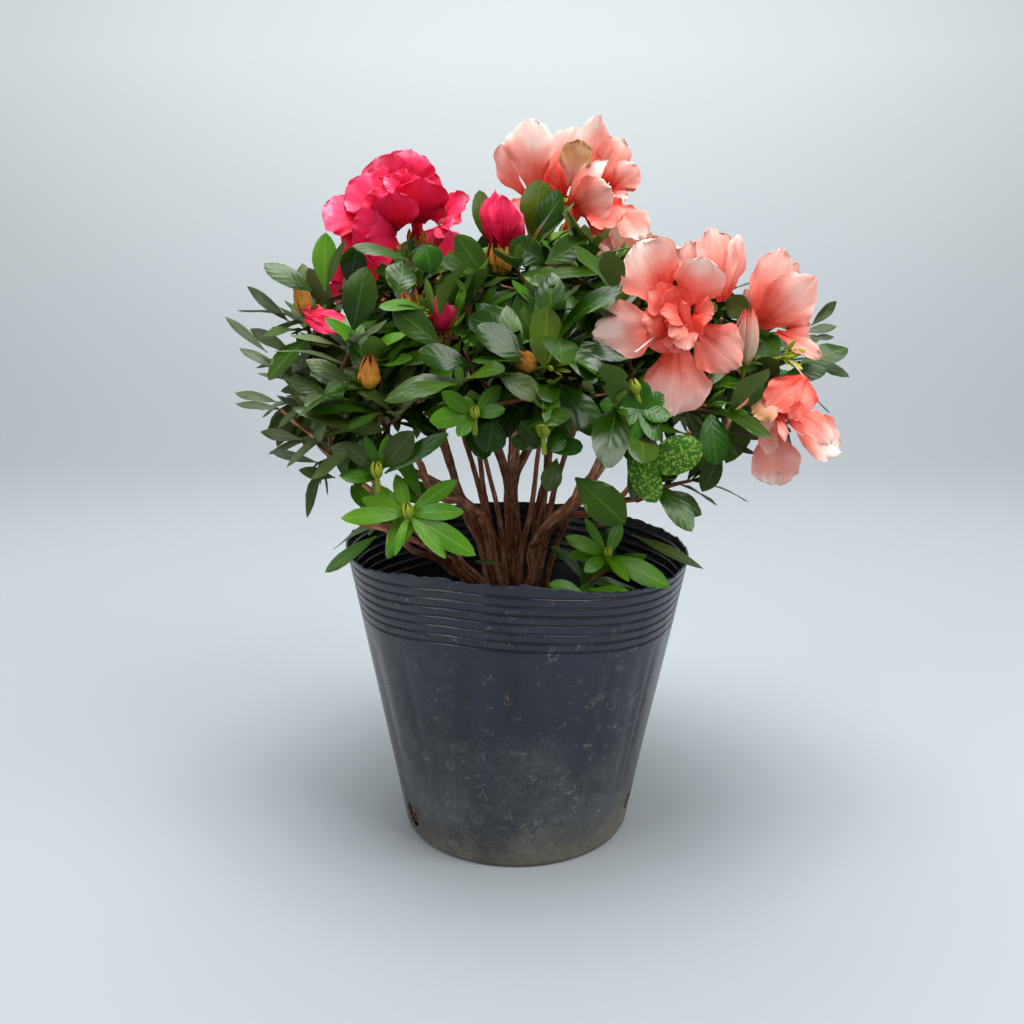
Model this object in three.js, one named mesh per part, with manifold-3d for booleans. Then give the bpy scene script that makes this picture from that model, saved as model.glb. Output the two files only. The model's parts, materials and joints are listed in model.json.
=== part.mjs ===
// An azalea shrub in flower, grown in a soft black nursery pot.
// Several stems rise from one root crown, fork into boughs and carry a low domed crown of leaf rosettes,
// with hot pink blooms on the left and salmon blooms on the right.
// Sizes are in millimetres, +Z is up, -Y faces the viewer, and the origin is the centre of the pot's
// underside.

import * as THREE from "three";
import { mergeVertices } from "three/addons/utils/BufferGeometryUtils.js";
import Module from "manifold-3d";

const wasm = await Module();
wasm.setup();

const degree = Math.PI / 180;
const goldenAngle = Math.PI * (3 - Math.sqrt(5));
const clearance = 0.3; // between neighbouring solids
const up = new THREE.Vector3(0, 0, 1);

const pot = {
  height: 156,
  rimRadius: 90,
  baseRadius: 61,
  wall: 1.2,
  floor: 1.6,
  edgeRound: 3,
  grooves: 7,
  groovePitch: 4.6,
  grooveDepth: 0.8,
  bandTop: 5, // from the rim down to the first groove
  drainHoles: [-150, -20, 57, 123], // degrees from +X
  holeWidth: 8,
  holeHeight: 11,
  holeFoot: 3,
  segments: 28,
};
const soil = { level: 104, mound: 4, segments: 16 };
const rootCrown = { groundRadius: 15, topRadius: 8, height: 15, lobes: 5, lobeDepth: 0.14, segments: 15 };
const footLevel = soil.level + 7; // where the stems' centre lines start, inside the root crown

// The dome that the tips of the leafy shoots end on. Leaves stand about 30 mm out of it.
const crown = {
  x: 10,
  y: 0,
  z: 240,
  halfWidth: 117,
  halfDepth: 104,
  rise: 66,
  droop: 36,
  lowest: -0.55, // sine of the lowest shoot's tilt
  outerShoots: 46,
  innerShoots: 9,
  innerShare: 0.62,
};

const leaf = {
  length: 40,
  width: 15.5,
  thickness: 1,
  widest: 0.56,
  sunk: 0.2,
  spacing: 2.4, // of the leaves' roots, back from the shoot's tip
  perShoot: 7,
  roundBud: 5,
  lean: 34, // degrees from the shoot's axis, for the newest leaf
  leanRange: 50, // more for the oldest
  leanWobble: 12,
  lengthRange: 0.25,
  widthRange: 0.3,
  upward: 0.25,
  tries: 5,
  turnStep: 34, // a later try turns the leaf by this many degrees, raises it and makes it smaller
  raise: 4,
  shrink: 0.06,
  margin: 0.8, // kept round a leaf's edge
  crowding: 8, // least distance between the middles of two leaves
};
const twig = {
  stemRadius: 2.2,
  radius: 1.6, // at the foot of a twig that leaves the stem
  forkTaper: 0.62, // a side twig's foot against the twig that it leaves
  tipRadius: 0.8,
  sides: 3,
  steps: 2,
  shortest: 12,
  bendCost: 30, // millimetres of way that a right-angled turn counts for
  beads: 6,
  lift: 0.25,
  stemForks: [1, 0.7, 0.4],
  tries: 4,
  forks: [0.35, 0.62],
};
const bloom = {
  tube: 22,
  tubeRadius: 2.2,
  throat: 0.26, // share of the petal's length
  petalRoot: 0.66, // share of the throat's radius
  petalSunk: 3, // into the tube
  petalWidth: 1.2,
  petalWidest: 0.6, // along its length
  petalMiddle: 0.72,
  petalBend: 0.2,
  petalThickness: 1.2,
  petalTwist: 12, // so that each petal's edge lies over the next one's
  petals: 5,
  uneven: 11, // degrees by which petals' turns and leans differ
  lengthRange: 0.12,
  crest: 0.42, // length of the crowded inner petals as a share of the outer ones
  crestWidth: 0.55, // share of the throat
  apart: 1.25, // blooms nearer than this many petal lengths press against each other
  twigRadius: 1.5,
  seed: 320,
  balls: [
    [0.25, 0.75],
    [1, 0.7],
  ], // kept free of leaves: how far ahead of the throat, and radius, as shares of a petal's length
};

const colours = {
  plastic: "#2b2e33",
  soil: "#2a211a",
  bark: "#5d3520",
  leaves: "#2f5a1c",
  youngLeaves: "#5f9a22",
  pinkPetals: "#e8305f",
  salmonPetals: "#f08a7c",
};

// Each limb grows from a parent at a share of its length, and ends at a bearing, reach and height.
// Bearings are in degrees from +X, and -90 faces the viewer. lift 0 is straight, and 1 rises before it
// spreads.
const limbs = [
  {
    name: "main_stem", bearing: 180, reach: 3, height: 185, foot: 0,
    radii: [5, 3.6], lift: 0, flare: 2.2,
  },
  {
    name: "left_front_stem", bearing: -130, reach: 26, height: 174, foot: 7,
    radii: [3.3, 2.6], lift: 0.35, flare: 1.2,
  },
  {
    name: "right_front_stem", bearing: -44, reach: 43, height: 184, foot: 7,
    radii: [3.1, 2.3], lift: 0.55, flare: 1.2,
  },
  {
    name: "right_back_stem", bearing: 40, reach: 24, height: 206, foot: 9,
    radii: [2.6, 2.1], lift: 0.3, flare: 1,
  },
  {
    name: "back_stem", bearing: 95, reach: 26, height: 190, foot: 9,
    radii: [3, 2.4], lift: 0.2, flare: 1,
  },
  {
    name: "left_back_stem", bearing: 155, reach: 35, height: 178, foot: 9,
    radii: [3, 2.4], lift: 0.25, flare: 1,
  },
  {
    name: "left_low_stem", bearing: -160, reach: 54, height: 166, foot: 9,
    radii: [2.8, 2.1], lift: 0.1, flare: 1,
  },
  {
    name: "front_low_stem", bearing: -122, reach: 68, height: 174, foot: 9,
    radii: [2.5, 1.9], lift: 0.05, flare: 1,
  },
  {
    name: "top_left_bough", parent: "main_stem", at: 1, bearing: 188, reach: 43, height: 256,
    radii: [2.5, 1.8], lift: 0.25,
  },
  {
    name: "top_bough", parent: "main_stem", at: 1, bearing: -60, reach: 12, height: 262,
    radii: [2.5, 1.8], lift: 0,
  },
  {
    name: "top_right_bough", parent: "main_stem", at: 1, bearing: 28, reach: 44, height: 258,
    radii: [2.5, 1.8], lift: 0.2,
  },
  {
    name: "front_bough", parent: "main_stem", at: 0.88, bearing: -92, reach: 46, height: 226,
    radii: [2.1, 1.6], lift: 0.1,
  },
  {
    name: "left_front_bough", parent: "left_front_stem", at: 1, bearing: -139, reach: 70, height: 204,
    radii: [2.3, 1.7], lift: 0.1,
  },
  {
    name: "right_front_bough", parent: "right_front_stem", at: 1, bearing: -42, reach: 70, height: 222,
    radii: [2.1, 1.7], lift: 0.1,
  },
  {
    name: "right_low_bough", parent: "right_front_stem", at: 0.72, bearing: -36, reach: 72, height: 188,
    radii: [1.7, 1.4], lift: 0,
  },
  {
    name: "right_bough", parent: "right_back_stem", at: 1, bearing: -4, reach: 82, height: 238,
    radii: [2, 1.6], lift: 0.1,
  },
  {
    name: "right_back_bough", parent: "right_back_stem", at: 1, bearing: 44, reach: 68, height: 232,
    radii: [2, 1.6], lift: 0.2,
  },
  {
    name: "back_bough", parent: "back_stem", at: 1, bearing: 88, reach: 66, height: 226,
    radii: [2.2, 1.6], lift: 0.2,
  },
  {
    name: "left_back_bough", parent: "left_back_stem", at: 1, bearing: 134, reach: 70, height: 226,
    radii: [2.2, 1.6], lift: 0.2,
  },
  {
    name: "left_outer_bough", parent: "left_low_stem", at: 1, bearing: -160, reach: 96, height: 218,
    radii: [2, 1.5], lift: 0,
  },
];

// Each mass of foliage grows from the tip of one limb. hub is how far its stem runs on, up how much of that
// is upward, and seed starts the chances of its twigs and leaves.
const masses = [
  { name: "foliage_top_left", limb: "top_left_bough", seed: 1000, hub: 12, up: 0.6 },
  { name: "foliage_top", limb: "top_bough", seed: 2000, hub: 12, up: 0.6 },
  { name: "foliage_top_right", limb: "top_right_bough", seed: 3000, hub: 12, up: 0.5 },
  { name: "foliage_front", limb: "front_bough", seed: 4000, hub: 16, up: 0.1 },
  { name: "foliage_left_front", limb: "left_front_bough", seed: 5000, hub: 12, up: 0.3 },
  { name: "foliage_left_outer", limb: "left_outer_bough", seed: 6000, hub: 12, up: 0.5 },
  { name: "foliage_left_back", limb: "left_back_bough", seed: 7000, hub: 12, up: 0.4 },
  { name: "foliage_back", limb: "back_bough", seed: 8000, hub: 14, up: 0.3 },
  { name: "foliage_right_back", limb: "right_back_bough", seed: 9001, hub: 12, up: 0.4 },
  { name: "foliage_right", limb: "right_bough", seed: 10000, hub: 16, up: 0.2 },
  { name: "foliage_right_front", limb: "right_front_bough", seed: 11000, hub: 12, up: 0.4 },
  { name: "foliage_right_low", limb: "right_low_bough", seed: 12000, hub: 10, up: 0.2, only: "placed" },
  {
    name: "foliage_front_low", limb: "front_low_stem", seed: 13000, hub: 8, up: 0.5,
    only: "placed", young: true,
  },
  { name: "pot_sprout", limb: "root_crown", seed: 14000, hub: 0, up: 0, only: "placed", young: true },
];
const beadPitch = 3;
const limbMargin = 2;
const wallGap = 0.6; // each mass stops this far short of the plane midway to its neighbour
const sprout = { footBearing: -84, footReach: 8, bearing: -47, reach: 40, height: 130 };

// Shoots that hang below the dome or stand out of it, each by the mass that carries it.
const placedShoots = [
  { mass: "foliage_front_low", bearing: -119, reach: 92, height: 198, leaves: 8, size: 1.05 },
  { mass: "foliage_front_low", bearing: -131, reach: 92, height: 205, leaves: 6, size: 0.95 },
  { mass: "foliage_front_low", bearing: -140, reach: 84, height: 178, leaves: 5, size: 0.9 },
  { mass: "foliage_right_low", bearing: -52, reach: 98, height: 204, leaves: 5, size: 1 },
  { mass: "foliage_right_low", bearing: -30, reach: 96, height: 198, leaves: 5, size: 0.9 },
  { mass: "foliage_right_front", bearing: -62, reach: 96, height: 226, leaves: 4, size: 0.9 },
  { mass: "foliage_right_front", bearing: -38, reach: 108, height: 236, leaves: 4, size: 1 },
  { mass: "foliage_front", bearing: -70, reach: 84, height: 252, leaves: 5, size: 0.95 },
  { mass: "foliage_left_front", bearing: -128, reach: 108, height: 222, leaves: 6, size: 0.95 },
  { mass: "foliage_left_outer", bearing: -166, reach: 108, height: 232, leaves: 5, size: 0.95 },
  { mass: "foliage_left_outer", bearing: -154, reach: 100, height: 208, leaves: 5, size: 0.9 },
  { mass: "foliage_right", bearing: -2, reach: 136, height: 250, leaves: 5, size: 1.05 },
  { mass: "pot_sprout", bearing: -44, reach: 62, height: 152, leaves: 8, size: 0.9 },
];

// Buds about to open, each at the tip of a leafy shoot of its own.
const buds = [
  { mass: "foliage_top", at: [-7, -20, 300], facing: [-0.05, 0, 1], length: 30, width: 17 },
  { mass: "foliage_left_outer", at: [-88, -40, 272], facing: [0.85, -0.2, -0.3], length: 24, width: 13 },
  { mass: "foliage_front", at: [-30, -66, 268], facing: [0.2, -0.3, 0.93], length: 22, width: 12 },
  { mass: "foliage_front", at: [4, -86, 250], facing: [-0.5, -0.4, 0.75], length: 17, width: 10 },
  { mass: "foliage_left_front", at: [-64, -78, 246], facing: [0.1, -0.3, 0.95], length: 17, width: 10 },
  { mass: "foliage_left_outer", at: [-104, -28, 278], facing: [-0.2, 0, 1], length: 17, width: 9 },
  { mass: "foliage_left_front", at: [-48, -44, 276], facing: [0, -0.2, 1], length: 15, width: 9 },
  { mass: "foliage_right", at: [104, -52, 254], facing: [0, -0.2, 1], length: 22, width: 12 },
  { mass: "foliage_back", at: [10, 92, 272], facing: [0.1, 0.4, 0.9], length: 17, width: 10 },
  { mass: "foliage_right_back", at: [96, 66, 262], facing: [0.4, 0.3, 0.85], length: 24, width: 13 },
];

// Open blooms. at is the throat, facing the direction that the bloom opens towards, and open the angle of
// its petals from that direction. Each stands on a twig that leaves its limb at the share foot.
const blooms = [
  {
    name: "pink_bloom_left", slot: "pinkPetals", limb: "top_left_bough", foot: 0.86,
    at: [-69, -12, 318], facing: [-0.4, -0.55, 0.74], open: 56, petal: 31, roll: 30,
  },
  {
    name: "pink_bloom_top", slot: "pinkPetals", limb: "top_left_bough", foot: 0.7,
    at: [-50, 6, 326], facing: [0.05, -0.6, 0.8], open: 60, petal: 33,
  },
  {
    name: "pink_bloom_right", slot: "pinkPetals", limb: "top_bough", foot: 0.7,
    at: [-30, 24, 308], facing: [0.5, 0.3, 0.8], open: 55, petal: 28,
  },
  {
    name: "pink_bloom_low", slot: "pinkPetals", limb: "left_back_bough", foot: 0.9,
    at: [-80, 34, 284], facing: [-0.45, 0.5, 0.6], open: 60, petal: 30,
  },
  {
    name: "salmon_bloom_top_left", slot: "salmonPetals", limb: "top_right_bough", foot: 0.62,
    at: [14, 30, 334], facing: [-0.1, -0.15, 0.97], open: 30, petal: 38, roll: 30,
  },
  {
    name: "salmon_bloom_top_right", slot: "salmonPetals", limb: "top_right_bough", foot: 0.8,
    at: [40, 22, 336], facing: [0.45, -0.3, 0.84], open: 46, petal: 38,
  },
  {
    name: "salmon_bloom_top_low", slot: "salmonPetals", limb: "top_right_bough", foot: 0.93, bend: 0.2,
    at: [54, 30, 318], facing: [0.86, -0.3, -0.2], open: 62, petal: 33,
  },
  {
    name: "salmon_bloom_front", slot: "salmonPetals", limb: "right_bough", foot: 0.38, roll: 36,
    at: [69, -66, 270], facing: [0.04, -0.94, 0.34], open: 74, petal: 40,
  },
  {
    name: "salmon_bloom_middle", slot: "salmonPetals", limb: "right_bough", foot: 0.52,
    at: [88, -28, 287], facing: [0.25, 0.1, 0.96], open: 40, petal: 36,
  },
  {
    name: "salmon_bloom_right", slot: "salmonPetals", limb: "right_bough", foot: 0.64,
    at: [118, -26, 276], facing: [0.8, -0.2, 0.55], open: 46, petal: 36,
  },
  {
    name: "salmon_bloom_hanging", slot: "salmonPetals", limb: "right_bough", foot: 0.76,
    at: [122, -50, 236], facing: [0.12, -0.5, -0.85], open: 36, petal: 37,
  },
  {
    name: "pink_bloom_back", slot: "pinkPetals", limb: "left_back_bough", foot: 0.95,
    at: [-44, 88, 284], facing: [-0.2, 0.8, 0.55], open: 66, petal: 34,
  },
  {
    name: "salmon_bloom_back", slot: "salmonPetals", limb: "right_back_bough", foot: 0.95,
    at: [62, 84, 284], facing: [0.3, 0.75, 0.6], open: 60, petal: 36,
  },
];

// A repeatable stream of numbers from 0 to 1.
function randomFrom(seed) {
  let state = seed | 0;
  return () => {
    state = (state + 0x6d2b79f5) | 0;
    let mixed = Math.imul(state ^ (state >>> 15), 1 | state);
    mixed = (mixed + Math.imul(mixed ^ (mixed >>> 7), 61 | mixed)) ^ mixed;
    return ((mixed ^ (mixed >>> 14)) >>> 0) / 4294967296;
  };
}

function polar({ bearing, reach, height }) {
  const angle = bearing * degree;
  return new THREE.Vector3(reach * Math.cos(angle), reach * Math.sin(angle), height);
}

function solidFrom(geometry) {
  const bare = geometry.clone();
  bare.deleteAttribute("normal");
  bare.deleteAttribute("uv");
  const merged = mergeVertices(bare, 1e-4);
  const mesh = new wasm.Mesh({
    numProp: 3,
    vertProperties: merged.attributes.position.array,
    triVerts: new Uint32Array(merged.index.array),
  });
  return new wasm.Manifold(mesh);
}

function geometryFrom(solid) {
  const mesh = solid.getMesh();
  const geometry = new THREE.BufferGeometry();
  geometry.setAttribute("position", new THREE.BufferAttribute(new Float32Array(mesh.vertProperties), 3));
  geometry.setIndex(new THREE.BufferAttribute(new Uint32Array(mesh.triVerts), 1));
  geometry.computeVertexNormals();
  return geometry;
}

// A cut can leave a scrap on the far side of what it cut, so only the largest piece is kept.
function largestPiece(solid) {
  const pieces = solid.decompose();
  return pieces.reduce((best, piece) => (piece.volume() > best.volume() ? piece : best));
}

// A tapering rod bent along a path that lies in one plane.
function rodAlong(path, radiusAt, sides, steps) {
  const geometry = new THREE.CylinderGeometry(1, 1, 1, sides, steps);
  const start = path.getPoint(0);
  const chord = path.getPoint(1).sub(start);
  const bow = path.getPoint(0.5).sub(start);
  const side = new THREE.Vector3().crossVectors(chord, bow);
  if (side.length() < 1e-3) {
    side.crossVectors(chord, Math.abs(chord.z) > Math.abs(chord.x) ? new THREE.Vector3(1, 0, 0) : up);
  }
  side.normalize();
  const place = geometry.attributes.position;
  for (let i = 0; i < place.count; i++) {
    const share = Math.min(1, Math.max(0, place.getY(i) + 0.5));
    const along = path.getTangent(share);
    const across = new THREE.Vector3().crossVectors(side, along);
    const radius = radiusAt(share);
    const point = path.getPoint(share);
    point.addScaledVector(side, place.getX(i) * radius).addScaledVector(across, place.getZ(i) * radius);
    place.setXYZ(i, point.x, point.y, point.z);
  }
  return geometry;
}

// The bend of a limb or twig: lift moves its middle from straight to straight above its foot.
function bentPath(foot, tip, lift) {
  const middle = foot.clone().lerp(tip, 0.5 - 0.5 * lift);
  middle.z = foot.z + (tip.z - foot.z) * (0.5 + 0.5 * lift);
  return new THREE.QuadraticBezierCurve3(foot, middle, tip);
}

function potSolid() {
  const slope = (pot.rimRadius - pot.baseRadius) / pot.height;
  const wallAt = (z) => pot.baseRadius + slope * z;
  const outline = [new THREE.Vector2(0, 0), new THREE.Vector2(wallAt(0) - pot.edgeRound, 0)];
  outline.push(new THREE.Vector2(wallAt(pot.edgeRound), pot.edgeRound));
  for (let k = pot.grooves - 1; k >= 0; k--) {
    const z = pot.height - pot.bandTop - k * pot.groovePitch;
    outline.push(new THREE.Vector2(wallAt(z - pot.groovePitch * 0.3), z - pot.groovePitch * 0.3));
    outline.push(new THREE.Vector2(wallAt(z) - pot.grooveDepth, z));
  }
  outline.push(new THREE.Vector2(wallAt(pot.height - 2), pot.height - 2));
  outline.push(new THREE.Vector2(pot.rimRadius, pot.height));
  outline.push(new THREE.Vector2(pot.rimRadius - 2 * pot.wall, pot.height));
  const bandFoot = pot.height - pot.bandTop - pot.grooves * pot.groovePitch;
  outline.push(new THREE.Vector2(wallAt(bandFoot) - pot.wall, bandFoot));
  outline.push(new THREE.Vector2(wallAt(pot.floor) - pot.wall, pot.floor));
  outline.push(new THREE.Vector2(0, pot.floor));
  const shell = new THREE.LatheGeometry(outline, pot.segments);
  shell.rotateX(Math.PI / 2);
  let solid = solidFrom(shell);
  for (const bearing of pot.drainHoles) {
    const hole = new THREE.BoxGeometry(pot.baseRadius / 2, pot.holeWidth, pot.holeHeight);
    hole.translate(pot.baseRadius, 0, pot.holeFoot + pot.holeHeight / 2);
    hole.rotateZ(bearing * degree);
    solid = solid.subtract(solidFrom(hole));
  }
  return solid;
}

function soilSolid() {
  const slope = (pot.rimRadius - pot.baseRadius) / pot.height;
  const inside = (z) => pot.baseRadius + slope * z - pot.wall - 2 * clearance;
  const foot = pot.floor + clearance;
  const outline = [
    new THREE.Vector2(0, foot),
    new THREE.Vector2(inside(foot), foot),
    new THREE.Vector2(inside(soil.level - soil.mound), soil.level - soil.mound),
    new THREE.Vector2(rootCrown.groundRadius * 1.6, soil.level),
    new THREE.Vector2(0, soil.level),
  ];
  const body = new THREE.LatheGeometry(outline, soil.segments);
  body.rotateX(Math.PI / 2);
  return solidFrom(body);
}

// The root crown flares to the soil in rounded lobes. fat grows it evenly, to cut neighbours clear of it.
function rootCrownSolid(fat = 0) {
  const ground = soil.level + clearance - fat;
  const top = soil.level + rootCrown.height + fat;
  const middleRadius = (rootCrown.groundRadius + rootCrown.topRadius) * 0.44;
  const outline = [
    new THREE.Vector2(0, ground),
    new THREE.Vector2(rootCrown.groundRadius + fat, ground),
    new THREE.Vector2(middleRadius + fat, ground + rootCrown.height * 0.4),
    new THREE.Vector2(rootCrown.topRadius + fat, top - 3),
    new THREE.Vector2(rootCrown.topRadius * 0.55 + fat, top),
    new THREE.Vector2(0, top),
  ];
  const body = new THREE.LatheGeometry(outline, rootCrown.segments);
  body.rotateX(Math.PI / 2);
  const place = body.attributes.position;
  for (let i = 0; i < place.count; i++) {
    const angle = Math.atan2(place.getY(i), place.getX(i));
    const swell = 1 + rootCrown.lobeDepth * Math.cos(rootCrown.lobes * angle);
    place.setXY(i, place.getX(i) * swell, place.getY(i) * swell);
  }
  return solidFrom(body);
}

const limbPaths = new Map();

function pathOfLimb(limb) {
  const foot = limb.parent
    ? limbPaths.get(limb.parent).getPoint(limb.at)
    : polar({ bearing: limb.bearing, reach: limb.foot, height: footLevel });
  return bentPath(foot, polar(limb), limb.lift);
}

function limbSolid(limb, path, fat = 0) {
  const [foot, tip] = limb.radii;
  const flare = limb.flare ?? 0;
  const radiusAt = (share) => foot + (tip - foot) * share + flare * (1 - share) ** 7 + fat;
  const end = path.v2.clone().addScaledVector(path.getTangent(1), fat);
  const reached = new THREE.QuadraticBezierCurve3(path.v0, path.v1, end);
  return solidFrom(rodAlong(reached, radiusAt, limb.parent ? 5 : 6, 4));
}

// A broad petal of six-sided outline: narrow at its root, widest past its middle, and bent back along its
// length.
function petalSolid(root, direction, inner, length, width) {
  const petal = new THREE.SphereGeometry(1, 6, 2, Math.PI / 6);
  const along = direction.clone().normalize();
  const across = new THREE.Vector3().crossVectors(along, inner).normalize();
  const upper = new THREE.Vector3().crossVectors(across, along);
  const corner = Math.cos(Math.PI / 6);
  const place = petal.attributes.position;
  for (let i = 0; i < place.count; i++) {
    const end = place.getX(i) / corner;
    const run = bloom.petalWidest + end * (end > 0 ? 1 - bloom.petalWidest : bloom.petalWidest);
    const half = (place.getZ(i) * (bloom.petalMiddle + (1 - bloom.petalMiddle) * 1.6 * end) * width) / 2;
    const rise = (place.getY(i) * bloom.petalThickness) / 2 - bloom.petalBend * length * run * run;
    const point = root.clone().addScaledVector(along, run * length);
    point.addScaledVector(across, half).addScaledVector(upper, rise);
    place.setXYZ(i, point.x, point.y, point.z);
  }
  return solidFrom(petal);
}

// A double bloom: a flaring tube, a ring of broad petals and a crest of crowded inner ones.
function corollaSolid(flower, seed) {
  const random = randomFrom(seed);
  const at = new THREE.Vector3(...flower.at);
  const facing = new THREE.Vector3(...flower.facing).normalize();
  const side = new THREE.Vector3().crossVectors(up, facing).normalize();
  const top = new THREE.Vector3().crossVectors(facing, side);
  const tubeFoot = at.clone().addScaledVector(facing, -bloom.tube);
  const throat = flower.petal * bloom.throat;
  const tubeRadius = (share) => bloom.tubeRadius + (throat - bloom.tubeRadius) * share;
  const pieces = [solidFrom(rodAlong(new THREE.LineCurve3(tubeFoot, at), tubeRadius, 5, 1))];
  for (let k = 0; k < bloom.petals; k++) {
    const roll = (flower.roll ?? 0) + bloom.uneven * (random() - 0.5);
    const turn = (roll + 90 + (k * 360) / bloom.petals) * degree;
    const lean = (flower.open + bloom.uneven * (random() - 0.5)) * degree;
    const outward = side.clone().multiplyScalar(Math.cos(turn)).addScaledVector(top, Math.sin(turn));
    const direction = facing.clone().multiplyScalar(Math.cos(lean));
    direction.addScaledVector(outward, Math.sin(lean));
    const root = at.clone().addScaledVector(outward, throat * bloom.petalRoot);
    root.addScaledVector(facing, -bloom.petalSunk);
    const inner = facing.clone().applyAxisAngle(direction, bloom.petalTwist * degree);
    const length = flower.petal * (1 + bloom.lengthRange * (random() - 0.5));
    pieces.push(petalSolid(root, direction, inner, length, length * bloom.petalWidth));
  }
  const crest = new THREE.SphereGeometry(1, 5, 3);
  const stand = new THREE.Quaternion().setFromUnitVectors(new THREE.Vector3(0, 1, 0), facing);
  const rise = flower.petal * bloom.crest;
  const place = at.clone().addScaledVector(facing, rise * 0.5);
  const wide = throat * bloom.crestWidth;
  const shape = new THREE.Vector3(wide, rise * 0.62, wide);
  pieces.push(solidFrom(crest.applyMatrix4(new THREE.Matrix4().compose(place, stand, shape))));
  return wasm.Manifold.union(pieces);
}

// The twig that carries a bloom, from its limb into the foot of the tube.
function stalkSolid(flower, fat = 0) {
  const facing = new THREE.Vector3(...flower.facing).normalize();
  const foot = limbPaths.get(flower.limb).getPoint(flower.foot);
  const neck = new THREE.Vector3(...flower.at).addScaledVector(facing, -bloom.tube * 0.8);
  const bend = neck.clone().addScaledVector(facing, -(flower.bend ?? 0.5) * neck.distanceTo(foot));
  const path = new THREE.QuadraticBezierCurve3(foot, bend, neck);
  return solidFrom(rodAlong(path, () => bloom.twigRadius + fat, 3, 3));
}

// The thin solid of a leaf: flat-sided, thickest in its middle.
function leafSolid({ root, left, right, tip, middle, upper }) {
  const along = tip.clone().sub(root).normalize();
  const blade = new THREE.OctahedronGeometry(1);
  const place = blade.attributes.position;
  for (let i = 0; i < place.count; i++) {
    const [x, y, z] = [place.getX(i), place.getY(i), place.getZ(i)];
    const point = middle.clone().addScaledVector(upper, (z * leaf.thickness) / 2);
    if (y > 0.5) point.copy(tip);
    if (y < -0.5) point.copy(root).addScaledVector(along, -leaf.sunk);
    if (x > 0.5) point.copy(right);
    if (x < -0.5) point.copy(left);
    place.setXYZ(i, point.x, point.y, point.z);
  }
  return solidFrom(blade);
}

// A bud is a plump spindle that stands on the tip of its shoot.
function budSolid({ at, facing, length, width }) {
  const spindle = new THREE.SphereGeometry(1, 5, 3);
  const onward = new THREE.Vector3(...facing).normalize();
  const turn = new THREE.Quaternion().setFromUnitVectors(new THREE.Vector3(0, 1, 0), onward);
  const shape = new THREE.Vector3(width / 2, length / 2, width / 2);
  const place = new THREE.Matrix4().compose(new THREE.Vector3(...at), turn, shape);
  spindle.translate(0, 0.9, 0);
  return solidFrom(spindle.applyMatrix4(place));
}

// The tips of the crown's shoots, dealt out over the dome by a golden-angle spiral.
function domeTargets(count, share, firstTurn) {
  return Array.from({ length: count }, (_, k) => {
    const height = crown.lowest + ((1 - crown.lowest) * (k + 0.5)) / count;
    const across = Math.sqrt(1 - height * height);
    const turn = firstTurn + k * goldenAngle;
    const tall = height > 0 ? crown.rise : crown.droop;
    return new THREE.Vector3(
      crown.x + share * crown.halfWidth * across * Math.cos(turn),
      crown.y + share * crown.halfDepth * across * Math.sin(turn),
      crown.z + share * tall * height,
    );
  });
}

// A mass's own stem runs on from the tip of its limb to its hub.
function hubPath(mass) {
  if (mass.limb === "root_crown") {
    const foot = polar({ bearing: sprout.footBearing, reach: sprout.footReach, height: footLevel });
    return bentPath(foot, polar(sprout), 0.1);
  }
  const path = limbPaths.get(mass.limb);
  const tip = path.getPoint(1);
  const onward = path.getTangent(1);
  const foot = tip.clone().addScaledVector(onward, clearance);
  const end = foot.clone().addScaledVector(onward, mass.hub * (1 - mass.up));
  end.z += mass.hub * mass.up;
  return new THREE.QuadraticBezierCurve3(foot, foot.clone().addScaledVector(onward, mass.hub * 0.4), end);
}

function shootsOfMasses(hubs) {
  const growing = masses.filter((mass) => mass.only !== "placed");
  const shoots = new Map(masses.map((mass) => [mass.name, []]));
  const deal = (targets, leaves, size) => {
    for (const tip of targets) {
      const nearest = growing.reduce((best, mass) =>
        hubs.get(mass.name).distanceTo(tip) < hubs.get(best.name).distanceTo(tip) ? mass : best,
      );
      shoots.get(nearest.name).push({ tip, leaves, size });
    }
  };
  deal(domeTargets(crown.outerShoots, 1, 0.4), leaf.perShoot, 1);
  deal(domeTargets(crown.innerShoots, crown.innerShare, 1.9), leaf.perShoot - 3, 0.95);
  for (const placed of placedShoots) {
    shoots.get(placed.mass).push({ tip: polar(placed), leaves: placed.leaves, size: placed.size });
  }
  for (const flower of buds) {
    const tip = new THREE.Vector3(...flower.at);
    shoots.get(flower.mass).push({ tip, leaves: leaf.roundBud, size: 1, bud: flower });
  }
  return shoots;
}

function boxesApart(a, b, gap) {
  return [0, 1, 2].some((k) => a.min[k] > b.max[k] + gap || b.min[k] > a.max[k] + gap);
}

// The half-planes midway to the other masses' hubs close off the space that a mass keeps to.
function wallsRound(mass, hubs) {
  const hub = hubs.get(mass.name);
  return masses
    .filter((other) => other !== mass)
    .map((other) => {
      const next = hubs.get(other.name);
      const normal = hub.clone().sub(next).normalize();
      return { normal, offset: hub.clone().add(next).multiplyScalar(0.5).dot(normal) + wallGap };
    });
}

// The corners of a leaf: root, two sides at its widest, and tip.
function leafCorners(root, direction, face, length, width) {
  const along = direction.clone().normalize();
  const across = new THREE.Vector3().crossVectors(along, face).normalize();
  const middle = root.clone().addScaledVector(along, length * leaf.widest);
  return {
    root,
    left: middle.clone().addScaledVector(across, -width / 2),
    right: middle.clone().addScaledVector(across, width / 2),
    tip: root.clone().addScaledVector(along, length),
    middle,
    upper: new THREE.Vector3().crossVectors(across, along),
  };
}

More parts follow.
